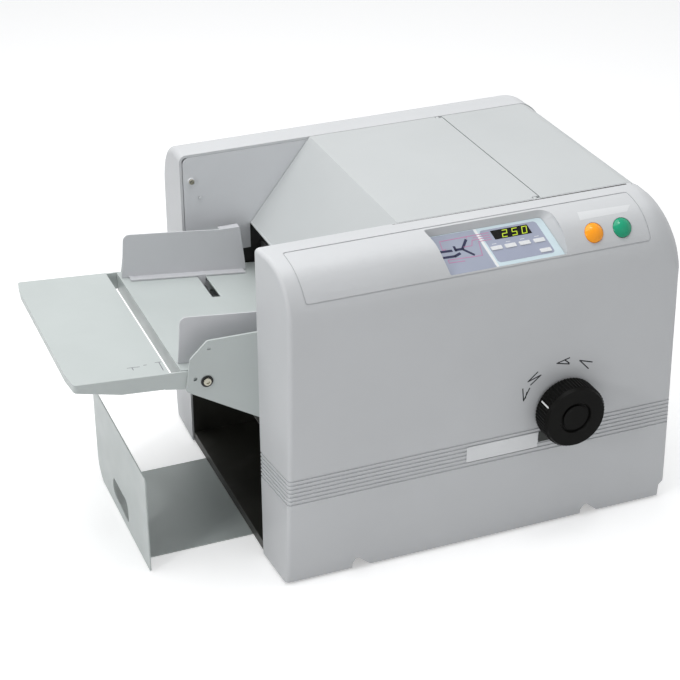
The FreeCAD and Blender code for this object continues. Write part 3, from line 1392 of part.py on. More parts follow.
# --- the whole machine -------------------------------------------------------------------------------------
def build():
    pieces = {
        "front_cover": front_cover(), "rear_cover": rear_cover(),
        "front_side_plate": front_side_plate(), "rear_side_plate": rear_side_plate(),
        "base_plate": base_plate(), "tie_bars": tie_bars(), "rubber_feet": rubber_feet(),
        "front_hood": front_hood(), "rear_hood": rear_hood(), "hood_hinge_pins": hood_hinge_pins(),
        "power_inlet": power_inlet(), "control_panel": control_panel(),
        "display_window": display_window(), "circuit_board": circuit_board(),
        "button_switches": button_switches(), "test_button": push_button(button_spots[0]),
        "start_button": push_button(button_spots[1]),
        "front_bracket": front_bracket(), "rear_bracket": mirrored(front_bracket()),
        "table_pivots": table_pivots(), "feed_table": feed_table(), "infeed_plate": infeed_plate(),
        "front_guide": front_guide(), "rear_guide": mirrored(front_guide()), "guide_rail": guide_rail(),
        "feed_tyres": feed_tyres(), "feed_shaft": feed_shaft(), "feed_gear": feed_gear(),
        "idler_gear": idler_gear(), "separator_pad": separator_pad(),
        "separator_holder": separator_holder(), "separator_spring": separator_spring(),
        "roller_bushes": roller_bushes(), "motor": motor(), "motor_pulley": motor_pulley(),
        "drive_pulley": drive_pulley(), "drive_belt": drive_belt(),
        "upper_fold_plate": fold_plate(upper_origin, upper_angle, upper_start, upper_length),
        "lower_fold_plate": fold_plate(lower_origin, lower_angle, lower_start, lower_length),
        "upper_stop": upper_stop(), "lower_stop": lower_stop(), "selector_guides": selector_guides(),
        "selector_knob": selector_knob(), "selector_shaft": selector_shaft(),
        "selector_pinion": selector_pinion(), "delivery_stop": delivery_stop(),
        "delivery_chute": delivery_chute(),
    }
    for number in (1, 2, 3, 4):
        pieces["fold_roller_%d" % number] = fold_roller(number)
        pieces["fold_gear_%d" % number] = fold_gear(number)
    for number, spot in enumerate(key_spots, 1):
        pieces["panel_key_%d" % number] = panel_key(spot)
    return pieces


pieces = build()
extent = Part.makeCompound(list(pieces.values())).optimalBoundingBox(False)
origin = Vector((extent.XMin + extent.XMax) / 2.0, (extent.YMin + extent.YMax) / 2.0, extent.ZMin)
os.makedirs("parts", exist_ok=True)
for name, shape in pieces.items():
    placed = shape.copy()
    placed.translate(Vector(-origin.x, -origin.y, -origin.z))
    placed.exportStep("parts/%s.step" % name)
print("%d nodes, %.1f x %.1f x %.1f mm" % (len(pieces), extent.XLength, extent.YLength, extent.ZLength))
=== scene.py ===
import bpy, bmesh, json, math
from mathutils import Matrix, Vector
from mathutils.bvhtree import BVHTree


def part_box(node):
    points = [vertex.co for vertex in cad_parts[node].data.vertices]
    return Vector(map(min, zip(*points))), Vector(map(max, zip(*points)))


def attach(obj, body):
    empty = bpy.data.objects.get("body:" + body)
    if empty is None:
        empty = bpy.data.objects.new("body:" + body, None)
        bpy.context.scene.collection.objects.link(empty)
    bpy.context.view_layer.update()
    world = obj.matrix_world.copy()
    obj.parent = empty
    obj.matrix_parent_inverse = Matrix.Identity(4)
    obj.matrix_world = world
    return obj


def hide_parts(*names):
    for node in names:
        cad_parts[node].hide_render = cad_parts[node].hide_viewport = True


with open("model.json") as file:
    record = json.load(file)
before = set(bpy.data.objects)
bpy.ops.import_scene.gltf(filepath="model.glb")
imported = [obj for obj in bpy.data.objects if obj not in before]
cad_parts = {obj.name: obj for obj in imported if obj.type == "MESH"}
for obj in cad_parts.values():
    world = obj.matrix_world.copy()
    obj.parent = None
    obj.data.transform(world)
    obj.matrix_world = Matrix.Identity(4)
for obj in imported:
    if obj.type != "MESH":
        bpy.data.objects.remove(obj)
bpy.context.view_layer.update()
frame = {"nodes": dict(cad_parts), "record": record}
cadNodes = frame["nodes"]
mm = 0.001
faceBulge = 4.0  # mm that the front face stands out past the covers' front edges
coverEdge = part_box("front_cover")[0] + Vector((0.0, faceBulge * mm, 0.0))
toDesk = Matrix.Translation(coverEdge) @ Matrix.Diagonal((mm, mm, mm, 1.0))  # mm at the covers to the frame


def at(x, y, z):  # a place counted in mm from the covers' feed end, front and lower edge
    return toDesk @ Vector((x, y, z))


# what the films, the labels and the printed inks share
film = {"rough": 0.34, "mottle": 0.012, "mottleScale": 40.0, "grainScale": 2600.0, "grainDepth": 0.02}
label = {"rough": 0.40, "mottle": 0.010, "mottleScale": 30.0, "grainScale": 2200.0, "grainDepth": 0.015}
ink = {"mottleScale": 200.0, "grainScale": 2400.0, "grainDepth": 0.02}
# each finish is a base colour, a roughness, and the scale and depth of its texture
finishes = {
    "coverPlastic": {"colour": (0.595, 0.605, 0.617), "rough": 0.46, "mottle": 0.012, "mottleScale": 7.0,
                     "grainScale": 1500.0, "grainDepth": 0.035, "dust": 0.01},
    "hoodPlastic": {"colour": (0.510, 0.530, 0.533), "rough": 0.44, "mottle": 0.012, "mottleScale": 6.0,
                    "grainScale": 1400.0, "grainDepth": 0.035, "dust": 0.01},
    "platePaint": {"colour": (0.66, 0.67, 0.69), "rough": 0.42, "mottle": 0.015, "mottleScale": 14.0,
                   "grainScale": 700.0, "grainDepth": 0.03, "dust": 0.01,
                   # the plate shows its pale paint inside these boxes; beyond them it is painted near-black,
                   # painted shade of the machine's dark interior
                   "pale": (((3.0, 247.0), (82.0, 372.0)), ((81.0, 277.0), (162.0, 372.0))),
                   "paintedShade": (0.014, 0.014, 0.013)},
    "paleSheetPaint": {"colour": (0.505, 0.545, 0.535), "rough": 0.38, "mottle": 0.012, "mottleScale": 12.0,
                       "grainScale": 800.0, "grainDepth": 0.04, "dust": 0.01},
    "guidePaint": {"colour": (0.61, 0.615, 0.635), "rough": 0.42, "mottle": 0.015, "mottleScale": 12.0,
                   "grainScale": 800.0, "grainDepth": 0.04, "dust": 0.01},
    "darkPanPaint": {"colour": (0.020, 0.020, 0.016), "rough": 0.46, "mottle": 0.08, "mottleScale": 8.0,
                     "grainScale": 900.0, "grainDepth": 0.05, "dust": 0.03},
    "brightSteel": {"colour": (0.56, 0.56, 0.57), "rough": 0.28, "metal": 1.0, "mottle": 0.04,
                    "mottleScale": 40.0, "grainScale": 900.0, "grainDepth": 0.03, "brushed": True},
    "zincScrew": {"colour": (0.40, 0.385, 0.32), "rough": 0.24, "metal": 1.0, "mottle": 0.05,
                  "mottleScale": 120.0, "grainScale": 2500.0, "grainDepth": 0.03},
    "bushPlastic": {"colour": (0.016, 0.016, 0.016), "rough": 0.48, "mottle": 0.1, "mottleScale": 90.0,
                    "grainScale": 1800.0, "grainDepth": 0.03, "specular": 0.3},
    "gearNylon": {"colour": (0.72, 0.70, 0.62), "rough": 0.42, "mottle": 0.03, "mottleScale": 60.0,
                  "grainScale": 1600.0, "grainDepth": 0.03, "soft": 0.12},
    "blackRubber": {"colour": (0.018, 0.018, 0.019), "rough": 0.72, "mottle": 0.2, "mottleScale": 80.0,
                    "grainScale": 1300.0, "grainDepth": 0.12, "dust": 0.06},
    "motorPaint": {"colour": (0.022, 0.022, 0.024), "rough": 0.38, "mottle": 0.15, "mottleScale": 30.0,
                   "grainScale": 700.0, "grainDepth": 0.05, "dust": 0.04},
    "keypadFilm": {**film, "colour": (0.335, 0.362, 0.462)},
    "diagramFilm": {**film, "colour": (0.345, 0.375, 0.465)},
    "paleFilm": {**film, "colour": (0.60, 0.715, 0.760)},
    "smokedWindow": {"colour": (0.006, 0.006, 0.005), "rough": 0.22, "mottle": 0.05, "mottleScale": 60.0,
                     "grainScale": 500.0, "grainDepth": 0.01, "specular": 0.15},
    "litDigit": {"colour": (0.47, 0.60, 0.02), "rough": 0.35, "mottle": 0.03, "mottleScale": 200.0,
                 "grainScale": 1500.0, "grainDepth": 0.01, "glow": 0.3},
    "keyWhite": {"colour": (0.74, 0.75, 0.76), "rough": 0.30, "mottle": 0.012, "mottleScale": 90.0,
                 "grainScale": 2200.0, "grainDepth": 0.02, "coat": 0.2},
    # the orange's glow is painted light, a faint emission that brightens the button
    "orangePlastic": {"colour": (0.95, 0.33, 0.004), "rough": 0.16, "mottle": 0.03, "mottleScale": 60.0,
                      "grainScale": 1600.0, "grainDepth": 0.006, "glow": 0.1, "coat": 0.35, "specular": 0.15},
    "greenPlastic": {"colour": (0.002, 0.33, 0.170), "rough": 0.16, "mottle": 0.03, "mottleScale": 60.0,
                     "grainScale": 1600.0, "grainDepth": 0.006, "coat": 0.35, "specular": 0.15},
    "knobBlack": {"colour": (0.0045, 0.0045, 0.0040), "rough": 0.40, "mottle": 0.06, "mottleScale": 60.0,
                  "grainScale": 1800.0, "grainDepth": 0.02, "specular": 0.07},
    "boardGreen": {"colour": (0.012, 0.14, 0.045), "rough": 0.40, "mottle": 0.2, "mottleScale": 220.0,
                   "grainScale": 1400.0, "grainDepth": 0.05},
    "inletBlack": {"colour": (0.012, 0.012, 0.012), "rough": 0.34, "mottle": 0.1, "mottleScale": 90.0,
                   "grainScale": 1600.0, "grainDepth": 0.03, "specular": 0.3},
    "labelWhite": {**label, "colour": (0.80, 0.81, 0.82)},
    "stripWhite": {**label, "colour": (0.68, 0.69, 0.70)},
    "printBlack": {**ink, "colour": (0.014, 0.015, 0.018), "rough": 0.50, "mottle": 0.08, "specular": 0.25},
    "printGrey": {**ink, "colour": (0.20, 0.205, 0.225), "rough": 0.45, "mottle": 0.05},
    "darkOlive": {**ink, "colour": (0.040, 0.044, 0.040), "rough": 0.50, "mottle": 0.05, "specular": 0.25},
    "printSlate": {**ink, "colour": (0.030, 0.032, 0.075), "rough": 0.46, "mottle": 0.05, "specular": 0.25},
    "printPink": {**ink, "colour": (0.50, 0.22, 0.38), "rough": 0.42, "mottle": 0.03},
    "printWhite": {**ink, "colour": (0.82, 0.83, 0.83), "rough": 0.42, "mottle": 0.015},
}


# how the noise is read for every finish: clouds in its colour, dust, wear in its roughness, and grain
texture = {"spread": (0.3, 0.7), "swing": 2.0, "cloudDetail": 4.0, "cloudTwist": 0.3,
           "dustScale": 3.7, "dustDetail": 6.0, "dustSpread": (0.52, 0.72),
           "dustColour": (0.42, 0.41, 0.38, 1.0), "wearScale": 2.3, "wearDetail": 5.0,
           "smoother": 0.06, "rougher": 0.07, "smoothest": 0.02,
           "grainDetail": 3.0, "grainStrength": 0.6, "brushedStretch": (1.0, 0.06, 1.0),
           "coatRough": 0.08, "specular": 0.5, "softDepth": 0.002}


def mixed(nodes, links, low, high, factor):
    node = nodes.new("ShaderNodeMix")
    node.data_type = "RGBA"
    for name, value in (("A", low), ("B", high)):
        socket = [s for s in node.inputs if s.name == name and s.type == "RGBA"][0]
        if isinstance(value, tuple):
            socket.default_value = value
        else:
            links.new(value, socket)
    slot = [s for s in node.inputs if s.name == "Factor" and s.type == "VALUE"][0]
    links.new(factor, slot)
    return [s for s in node.outputs if s.type == "RGBA"][0]


def joined(nodes, links, operation, values):  # several values brought to one
    total = values[0]
    for value in values[1:]:
        node = nodes.new("ShaderNodeMath")
        node.operation = operation
        links.new(total, node.inputs[0])
        links.new(value, node.inputs[1])
        total = node.outputs[0]
    return total


def insideBoxes(nodes, links, where, boxes):  # 1 within the boxes, seen from the side, and 0 beyond them
    parts = nodes.new("ShaderNodeSeparateXYZ")
    links.new(where.outputs["Object"], parts.inputs[0])
    within = []
    for corners in boxes:
        low, high = (at(x, 0, z) for x, z in corners)
        tests = []
        for axis, edge, side in (("X", low.x, "GREATER_THAN"), ("X", high.x, "LESS_THAN"),
                                 ("Z", low.z, "GREATER_THAN"), ("Z", high.z, "LESS_THAN")):
            test = nodes.new("ShaderNodeMath")
            test.operation = side
            test.inputs[1].default_value = edge
            links.new(parts.outputs[axis], test.inputs[0])
            tests.append(test.outputs[0])
        within.append(joined(nodes, links, "MULTIPLY", tests))
    return joined(nodes, links, "MAXIMUM", within)


def makeFinish(name, look):
    material = bpy.data.materials.new(name)
    material.use_nodes = True
    nodes, links = material.node_tree.nodes, material.node_tree.links
    shader = nodes["Principled BSDF"]
    where = nodes.new("ShaderNodeTexCoord")
    place = nodes.new("ShaderNodeMapping")
    links.new(where.outputs["Object"], place.inputs["Vector"])
    if look.get("brushed"):  # turned along the shafts
        place.inputs["Scale"].default_value = texture["brushedStretch"]

    def noise(scale, detail, distortion=0.0):
        node = nodes.new("ShaderNodeTexNoise")
        node.inputs["Scale"].default_value = scale
        node.inputs["Detail"].default_value = detail
        node.inputs["Distortion"].default_value = distortion
        links.new(place.outputs["Vector"], node.inputs["Vector"])
        return node.outputs["Fac"]

    def ranged(value, low, high, out0, out1):
        node = nodes.new("ShaderNodeMapRange")
        node.inputs["From Min"].default_value = low
        node.inputs["From Max"].default_value = high
        node.inputs["To Min"].default_value = out0
        node.inputs["To Max"].default_value = out1
        links.new(value, node.inputs["Value"])
        return node.outputs["Result"]

    colour, mottle, spread = look["colour"], texture["swing"] * look["mottle"], texture["spread"]
    darker = tuple(c * (1.0 - mottle) for c in colour) + (1.0,)
    lighter = tuple(min(c * (1.0 + mottle), 1.0) for c in colour) + (1.0,)
    cloud = noise(look["mottleScale"], texture["cloudDetail"], texture["cloudTwist"])
    shade = mixed(nodes, links, darker, lighter, ranged(cloud, *spread, 0.0, 1.0))
    if look.get("dust"):
        specks = noise(look["mottleScale"] * texture["dustScale"], texture["dustDetail"])
        amount = ranged(specks, *texture["dustSpread"], 0.0, look["dust"])
        shade = mixed(nodes, links, shade, texture["dustColour"], amount)
    # beyond the pale boxes the colour is painted shade: near-black, standing for the shadowed interior
    if look.get("pale"):
        inside = insideBoxes(nodes, links, where, look["pale"])
        shade = mixed(nodes, links, look["paintedShade"] + (1.0,), shade, inside)
    links.new(shade, shader.inputs["Base Color"])
    wear = noise(look["mottleScale"] * texture["wearScale"], texture["wearDetail"])
    smooth = max(look["rough"] - texture["smoother"], texture["smoothest"])
    rough = min(look["rough"] + texture["rougher"], 1.0)
    links.new(ranged(wear, *spread, smooth, rough), shader.inputs["Roughness"])
    shader.inputs["Metallic"].default_value = look.get("metal", 0.0)
    shader.inputs["Coat Weight"].default_value = look.get("coat", 0.0)
    shader.inputs["Coat Roughness"].default_value = texture["coatRough"]
    shader.inputs["Specular IOR Level"].default_value = look.get("specular", texture["specular"])
    if look.get("soft"):
        shader.inputs["Subsurface Weight"].default_value = look["soft"]
        shader.inputs["Subsurface Scale"].default_value = texture["softDepth"]
    # a glow is emission: the display's lit digits glow, and the orange button's faint glow is painted light
    if look.get("glow"):
        shader.inputs["Emission Color"].default_value = colour + (1.0,)
        shader.inputs["Emission Strength"].default_value = look["glow"]
    bump = nodes.new("ShaderNodeBump")
    bump.inputs["Strength"].default_value = texture["grainStrength"]
    bump.inputs["Distance"].default_value = look["grainDepth"] * mm
    links.new(noise(look["grainScale"], texture["grainDetail"]), bump.inputs["Height"])
    links.new(bump.outputs["Normal"], shader.inputs["Normal"])
    return material


materials = {name: makeFinish(name, look) for name, look in finishes.items()}
print("finishes:", len(materials))

# the carried-over nodes: finish, slot, and the mm that a copy's hard edges are eased by, or 0 for no copy
nodeFinish = {
    "coverPlastic": ("cover_plastic", {"front_cover": 0.5, "rear_cover": 0.5}),
    "hoodPlastic": ("hood_plastic", {"front_hood": 0.9, "rear_hood": 0.7}),
    "platePaint": ("plate_paint", {"front_side_plate": 0.25, "rear_side_plate": 0.25}),
    "paleSheetPaint": ("pale_sheet", {"feed_table": 0.6, "front_bracket": 0.35, "rear_bracket": 0.35,
                                      "infeed_plate": 0.3, "delivery_stop": 0.3}),
    "guidePaint": ("guide_paint", {"front_guide": 0.35, "rear_guide": 0.35}),
    "darkPanPaint": ("dark_pan", {"base_plate": 0.3, "delivery_chute": 0.3}),
    "brightSteel": ("bright_steel", {"tie_bars": 0.3, "hood_hinge_pins": 0, "guide_rail": 0.3,
                                     "feed_shaft": 0.3, "separator_spring": 0, "upper_fold_plate": 0,
                                     "lower_fold_plate": 0, "upper_stop": 0, "lower_stop": 0,
                                     "selector_guides": 0, "selector_shaft": 0, "fold_roller_1": 0.3,
                                     "fold_roller_2": 0.3, "fold_roller_3": 0.3, "fold_roller_4": 0.3}),
    "bushPlastic": ("bush_black", {"roller_bushes": 0}),
    "gearNylon": ("gear_nylon", {"feed_gear": 0, "idler_gear": 0, "selector_pinion": 0, "fold_gear_1": 0,
                                 "fold_gear_2": 0, "fold_gear_3": 0, "fold_gear_4": 0}),
    "blackRubber": ("rubber", {"rubber_feet": 0.2, "feed_tyres": 0.6, "separator_pad": 0.3, "drive_belt": 0}),
    "motorPaint": ("motor_paint", {"motor": 0.6, "motor_pulley": 0, "drive_pulley": 0}),
    "paleFilm": ("panel_blue", {"control_panel": 0.2}),
    "smokedWindow": ("dark_window", {"display_window": 0.15}),
    "keyWhite": ("key_white", {"panel_key_1": 0.3, "panel_key_2": 0.3, "panel_key_3": 0.3,
                               "panel_key_4": 0.3, "panel_key_5": 0.3}),
    "orangePlastic": ("button_orange", {"test_button": 0.9}),
    "greenPlastic": ("button_green", {"start_button": 0.9}),
    "knobBlack": ("knob_black", {"selector_knob": 0.35}),
    "boardGreen": ("board_green", {"circuit_board": 0}),
    "inletBlack": ("inlet_black", {"power_inlet": 0.3, "button_switches": 0, "separator_holder": 0.3}),
}
bodyOf = {n: body for body, members in frame["record"]["behaviour"]["bodies"].items() for n in members}


# how the meshes are cleaned: distances in m that merge points, angles in degrees
cleaning = {"weld": 1e-7, "mergeCopy": 1e-6, "flatAngle": 0.4, "hardAngle": 32.0, "copySharp": 40.0,
            "pieceSharp": 35.0, "copySegments": 2}


def easeEdges(bm, edges, offset, segments):
    bmesh.ops.bevel(bm, geom=edges, offset=offset, offset_type="OFFSET", segments=segments, profile=0.5,
                    affect="EDGES", clamp_overlap=True, material=-1)


def shownObject(name, bm, sharpAngle):  # the bmesh as an object, its edges smooth up to the angle
    mesh = bpy.data.meshes.new(name)
    bm.to_mesh(mesh)
    bm.free()
    for face in mesh.polygons:
        face.use_smooth = True
    mesh.set_sharp_from_angle(angle=math.radians(sharpAngle))
    shown = bpy.data.objects.new(name, mesh)
    bpy.context.scene.collection.objects.link(shown)
    return shown


def finished(piece, body, finish):  # a new piece gets its body and its finish
    piece.data.materials.append(materials[finish])
    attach(piece, body)
    return piece


def newPiece(name, bm, body, finish):
    bmesh.ops.remove_doubles(bm, verts=bm.verts, dist=cleaning["weld"])
    bmesh.ops.recalc_face_normals(bm, faces=bm.faces)
    return finished(shownObject(name, bm, cleaning["pieceSharp"]), body, finish)


def easedCopy(node, edge, finish):  # a copy with its facets merged and its hard edges eased
    bm = bmesh.new()
    bm.from_mesh(cadNodes[node].data)
    bmesh.ops.remove_doubles(bm, verts=bm.verts, dist=cleaning["mergeCopy"])
    flatAngle = math.radians(cleaning["flatAngle"])
    bmesh.ops.dissolve_limit(bm, angle_limit=flatAngle, verts=bm.verts, edges=bm.edges)
    hardAngle = math.radians(cleaning["hardAngle"])
    hard = [e for e in bm.edges if len(e.link_faces) == 2 and e.calc_face_angle(0.0) > hardAngle]
    easeEdges(bm, hard, edge * mm, cleaning["copySegments"])
    bmesh.ops.remove_doubles(bm, verts=bm.verts, dist=cleaning["weld"])
    piece = shownObject(node + "_eased", bm, cleaning["copySharp"])
    weighted = piece.modifiers.new("weighted", "WEIGHTED_NORMAL")
    weighted.keep_sharp = True
    finished(piece, bodyOf[node], finish)
    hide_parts(node)


for finish, (slot, members) in nodeFinish.items():
    for node, edge in members.items():
        if edge:
            easedCopy(node, edge, finish)
        else:
            cadNodes[node].data.materials.clear()
            cadNodes[node].data.materials.append(materials[finish])
print("nodes finished")


# the flat shapes of plates and prints, and where the rays start that lay them on a surface
flatWork = {"cornerSegments": 6, "strokeOverrun": 0.6, "raysInFront": -100.0, "raysAbove": 450.0}


def addPlate(bm, u0, u1, v0, v1, low, high, radius=0.0, strips=0):  # a flat plate with rounded corners
    shift = Matrix.Translation(((u0 + u1) / 2, (v0 + v1) / 2, (low + high) / 2))
    size = Matrix.Diagonal((u1 - u0, v1 - v0, high - low, 1.0))
    made = bmesh.ops.create_cube(bm, size=1.0, matrix=shift @ size)
    if radius:
        corners = [e for v in made["verts"] for e in v.link_edges
                   if abs(e.verts[0].co.z - e.verts[1].co.z) > (high - low) / 2]
        easeEdges(bm, list(set(corners)), radius, flatWork["cornerSegments"])
    for strip in range(1, strips):  # cut across, so that it can follow a bulge
        whole = bm.verts[:] + bm.edges[:] + bm.faces[:]
        bmesh.ops.bisect_plane(bm, geom=whole, plane_co=(0, v0 + (v1 - v0) * strip / strips, 0),
                               plane_no=(0, 1, 0))


def addStroke(bm, start, end, width, low, high):  # a printed bar between two places of a flat frame
    run = Vector((end[0] - start[0], end[1] - start[1]))
    turn = Matrix.Rotation(math.atan2(run.y, run.x), 4, "Z")
    middle = Matrix.Translation(((start[0] + end[0]) / 2, (start[1] + end[1]) / 2, (low + high) / 2))
    size = Matrix.Diagonal((run.length + width * flatWork["strokeOverrun"], width, high - low, 1.0))
    bmesh.ops.create_cube(bm, size=1.0, matrix=middle @ turn @ size)


def drawn(marks, low, high):  # all the lines of a print
    bm = bmesh.new()
    for points in marks["lines"]:
        for start, end in zip(points, points[1:]):
            addStroke(bm, start, end, marks["thick"], low, high)
    return bm


def surfaceOf(node):
    mesh = cadNodes[node].data
    return BVHTree.FromPolygons([v.co for v in mesh.vertices], [list(p.vertices) for p in mesh.polygons])


def laidOn(bm, tree, fromFront, bridge=0.0):  # a flat print lies down on a surface, and bridges its grooves
    way = Vector((0, 1, 0)) if fromFront else Vector((0, 0, -1))
    for vert in bm.verts:
        a, b, height = vert.co
        hits = []
        for step in (0.0, -bridge, bridge):
            if fromFront:
                start = at(a, flatWork["raysInFront"], b + step)
            else:
                start = at(a, b + step, flatWork["raysAbove"])
            place, normal, face, distance = tree.ray_cast(start, way)
            hits.append((distance, normal if normal.dot(way) < 0 else -normal))
        distance, normal = min(hits, key=lambda hit: hit[0])
        own = at(a, flatWork["raysInFront"], b) if fromFront else at(a, b, flatWork["raysAbove"])
        vert.co = own + way * distance + normal * height * mm


coverSurface = surfaceOf("front_cover")

# the control panel's films, digits and marks, in the panel's own leaning frame
panel = {"angle": 38.5, "foot": (2.0, 333.0), "lean": 0.25, "film": (0.02, 0.14), "print": (0.14, 0.20),
         "diagram": (190.8, 243.2, 2.6, 48.6), "keypad": (248.4, 314.0, 7.0, 46.0), "keypadCorner": 3.5,
         "divider": (243.6, 246.4, 2.6, 48.8), "dividerFilm": (0.02, 0.24), "dividerCorner": 0.4}
panelLean = Matrix(((1, -panel["lean"], 0, 0), (0, 1, 0, 0), (0, 0, 1, 0), (0, 0, 0, 1)))
panelTurn = Matrix.Rotation(math.radians(panel["angle"]), 4, "X")
panelFrame = Matrix.Translation((0, *panel["foot"])) @ panelTurn @ panelLean


def panelPiece(name, bm, finish):
    bmesh.ops.transform(bm, matrix=toDesk @ panelFrame, verts=bm.verts)
    newPiece(name, bm, "casing", finish)


bm = bmesh.new()
addPlate(bm, *panel["diagram"], *panel["film"])
panelPiece("diagramFilm", bm, "diagramFilm")
bm = bmesh.new()
addPlate(bm, *panel["keypad"], *panel["film"], panel["keypadCorner"])
panelPiece("keypadFilm", bm, "keypadFilm")
bm = bmesh.new()
addPlate(bm, *panel["divider"], *panel["dividerFilm"], panel["dividerCorner"])
panelPiece("dividerLine", bm, "printWhite")

paperPath = {"thick": 2.7,
             "lines": (((195.6, 30.2), (208.0, 29.6)), ((194.0, 23.4), (208.0, 22.9), (214.6, 25.0)),
                       ((213.0, 33.4), (212.4, 28.8)), ((212.8, 29.8), (220.5, 29.4)),
                       ((220.3, 29.6), (229.6, 38.8)), ((220.3, 29.0), (228.2, 20.9)))}
panelPiece("paperPathMarks", drawn(paperPath, *panel["print"]), "printSlate")
callouts = {"thick": 0.85, "lift": (0.20, 0.26),
            "lines": (((203.0, 32.0), (199.0, 32.0), (201.6, 42.0), (257.6, 42.4)),
                      ((231.4, 40.2), (232.0, 42.0)), ((238.0, 39.6), (257.4, 39.6)),
                      ((222.8, 31.2), (232.0, 31.2), (235.6, 37.0), (256.8, 37.0)),
                      ((198.4, 20.0), (236.4, 18.4), (241.6, 34.4), (256.2, 34.4)),
                      ((198.4, 20.0), (197.6, 16.6), (214.8, 15.8)))}
panelPiece("calloutLines", drawn(callouts, *callouts["lift"]), "printPink")

digits = {"shown": "250", "foot": (269.6, 34.6), "step": 11.4, "wide": 5.2, "high": 7.6, "lean": 0.46,
          "bar": 0.9, "lift": (0.20, 0.30)}
barsOf = {"2": "abged", "5": "afgcd", "0": "abcdef"}
barEnds = {"a": ((0, 2), (1, 2)), "b": ((1, 2), (1, 1)), "c": ((1, 1), (1, 0)), "d": ((0, 0), (1, 0)),
           "e": ((0, 1), (0, 0)), "f": ((0, 2), (0, 1)), "g": ((0, 1), (1, 1))}
bm = bmesh.new()
for number, digit in enumerate(digits["shown"]):
    left = digits["foot"][0] + number * digits["step"]
    for bar in barsOf[digit]:
        ends = []
        for across, up in barEnds[bar]:
            v = up * digits["high"] / 2
            ends.append((left + across * digits["wide"] + v * digits["lean"], digits["foot"][1] + v))
        addStroke(bm, *ends, digits["bar"], *digits["lift"])
panelPiece("displayDigits", bm, "litDigit")

keyMarks = {"spots": ((255.8, 23.7), (271.8, 23.7), (288.2, 23.7), (305.0, 23.7)), "above": 4.9,
            "half": 2.4, "thick": 0.5}
bm = bmesh.new()
for u, v in keyMarks["spots"]:
    left, right = ((u + side * keyMarks["half"], v + keyMarks["above"]) for side in (-1, 1))
    addStroke(bm, left, right, keyMarks["thick"], *panel["print"])
panelPiece("keyMarks", bm, "printWhite")
print("control panel done")

# prints and plates on the front cover
namePlate = {"corner": 0.8, "bridge": 2.2, "sunk": 0.05, "places": (
    ("namePlate", (212.0, 297.6, 107.8, 126.6), 0.35, 4, "labelWhite"),
    # a dark olive square beside the plate
    ("namePlateDarkSquare", (298.6, 313.0, 113.6, 126.8), 0.21, 2, "darkOlive"))}
for name, outline, thick, strips, finish in namePlate["places"]:
    bm = bmesh.new()
    addPlate(bm, *outline, -namePlate["sunk"], thick, namePlate["corner"], strips)
    laidOn(bm, coverSurface, True, namePlate["bridge"])
    newPiece(name, bm, "casing", finish)

foldMarks = {"thick": 1.4, "lift": (-0.03, 0.05),
             "lines": (((275.8, 186.3), (277.5, 171.0), (284.1, 185.4)), ((279.5, 173.7), (281.0, 180.9)),
                       ((292.8, 203.5), (281.7, 193.9), (296.9, 198.9), (285.1, 189.2)),
                       ((330.7, 213.0), (315.5, 209.3), (330.7, 205.4)), ((325.3, 211.3), (330.6, 206.5)),
                       ((358.8, 201.9), (343.3, 207.0), (354.7, 194.6)))}
bm = drawn(foldMarks, *foldMarks["lift"])
laidOn(bm, coverSurface, True)
newPiece("foldMarks", bm, "casing", "printBlack")


def laidSheet(look):  # a thin four-cornered sheet on the cover's top, its corners given as (x, y)
    bm = bmesh.new()
    bmesh.ops.create_grid(bm, x_segments=look["cuts"][0], y_segments=look["cuts"][1], size=0.5)
    a, b, c, d = (Vector((x, y, 0)) for x, y in look["corners"])
    for vert in bm.verts:
        s, t = vert.co.x + 0.5, vert.co.y + 0.5
        vert.co = (a * (1 - s) + b * s) * (1 - t) + (d * (1 - s) + c * s) * t
    lifted = bmesh.ops.extrude_face_region(bm, geom=bm.faces[:])
    for vert in [g for g in lifted["geom"] if isinstance(g, bmesh.types.BMVert)]:
        vert.co.z = look["thick"]
    laidOn(bm, coverSurface, False)
    return bm


buttonLabel = {"corners": ((345.7, 19.5), (402.0, 19.8), (409.2, 26.5), (346.7, 28.4)), "cuts": (12, 6),
               "thick": 0.12}
newPiece("buttonLabel", laidSheet(buttonLabel), "casing", "stripWhite")
# a thin black strip of painted shade lies along the gap beside the hood, standing for the gap's shadow, and
# widens towards the far end
hoodGapShade = {"corners": ((150.0, 62.3), (438.0, 60.4), (438.0, 62.7), (150.0, 62.8)), "cuts": (40, 2),
            "thick": 0.05}
newPiece("hoodGapShade", laidSheet(hoodGapShade), "casing", "blackRubber")
print("prints done")

# the pointer on the knob's skirt
knobLow, knobHigh = (toDesk.inverted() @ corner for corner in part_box("selector_knob"))
pointer = {"angle": 151.5, "wide": 1.7, "high": 0.15, "sunk": 1.6, "from": 4.0, "to": 4.4, "corner": 0.6}
knobRadius = (knobHigh.x - knobLow.x) / 2
bm = bmesh.new()
addPlate(bm, knobLow.y + pointer["from"], knobHigh.y - pointer["to"], -pointer["wide"] / 2,
         pointer["wide"] / 2, knobRadius - pointer["sunk"], knobRadius + pointer["high"], pointer["corner"])
# length along Y, height outwards
upright = Matrix(((0, 0, 1, 0), (1, 0, 0, 0), (0, 1, 0, 0), (0, 0, 0, 1)))
knobTurn = Matrix.Rotation(-math.radians(pointer["angle"]), 4, "Y")
knobPlace = Matrix.Translation(((knobLow.x + knobHigh.x) / 2, 0, (knobLow.z + knobHigh.z) / 2))
bmesh.ops.transform(bm, matrix=toDesk @ knobPlace @ knobTurn @ upright, verts=bm.verts)
newPiece("knobPointer", bm, bodyOf["selector_knob"], "printWhite")


# shares of a head's height that its rim is rounded by and its socket is deep, and the socket's draft in mm
screws = {"segments": 48, "round": 0.35, "roundSegments": 3, "deep": 0.6, "draft": 0.05}


def topFace(bm):
    return max(bm.faces, key=lambda face: face.calc_center_median().z)


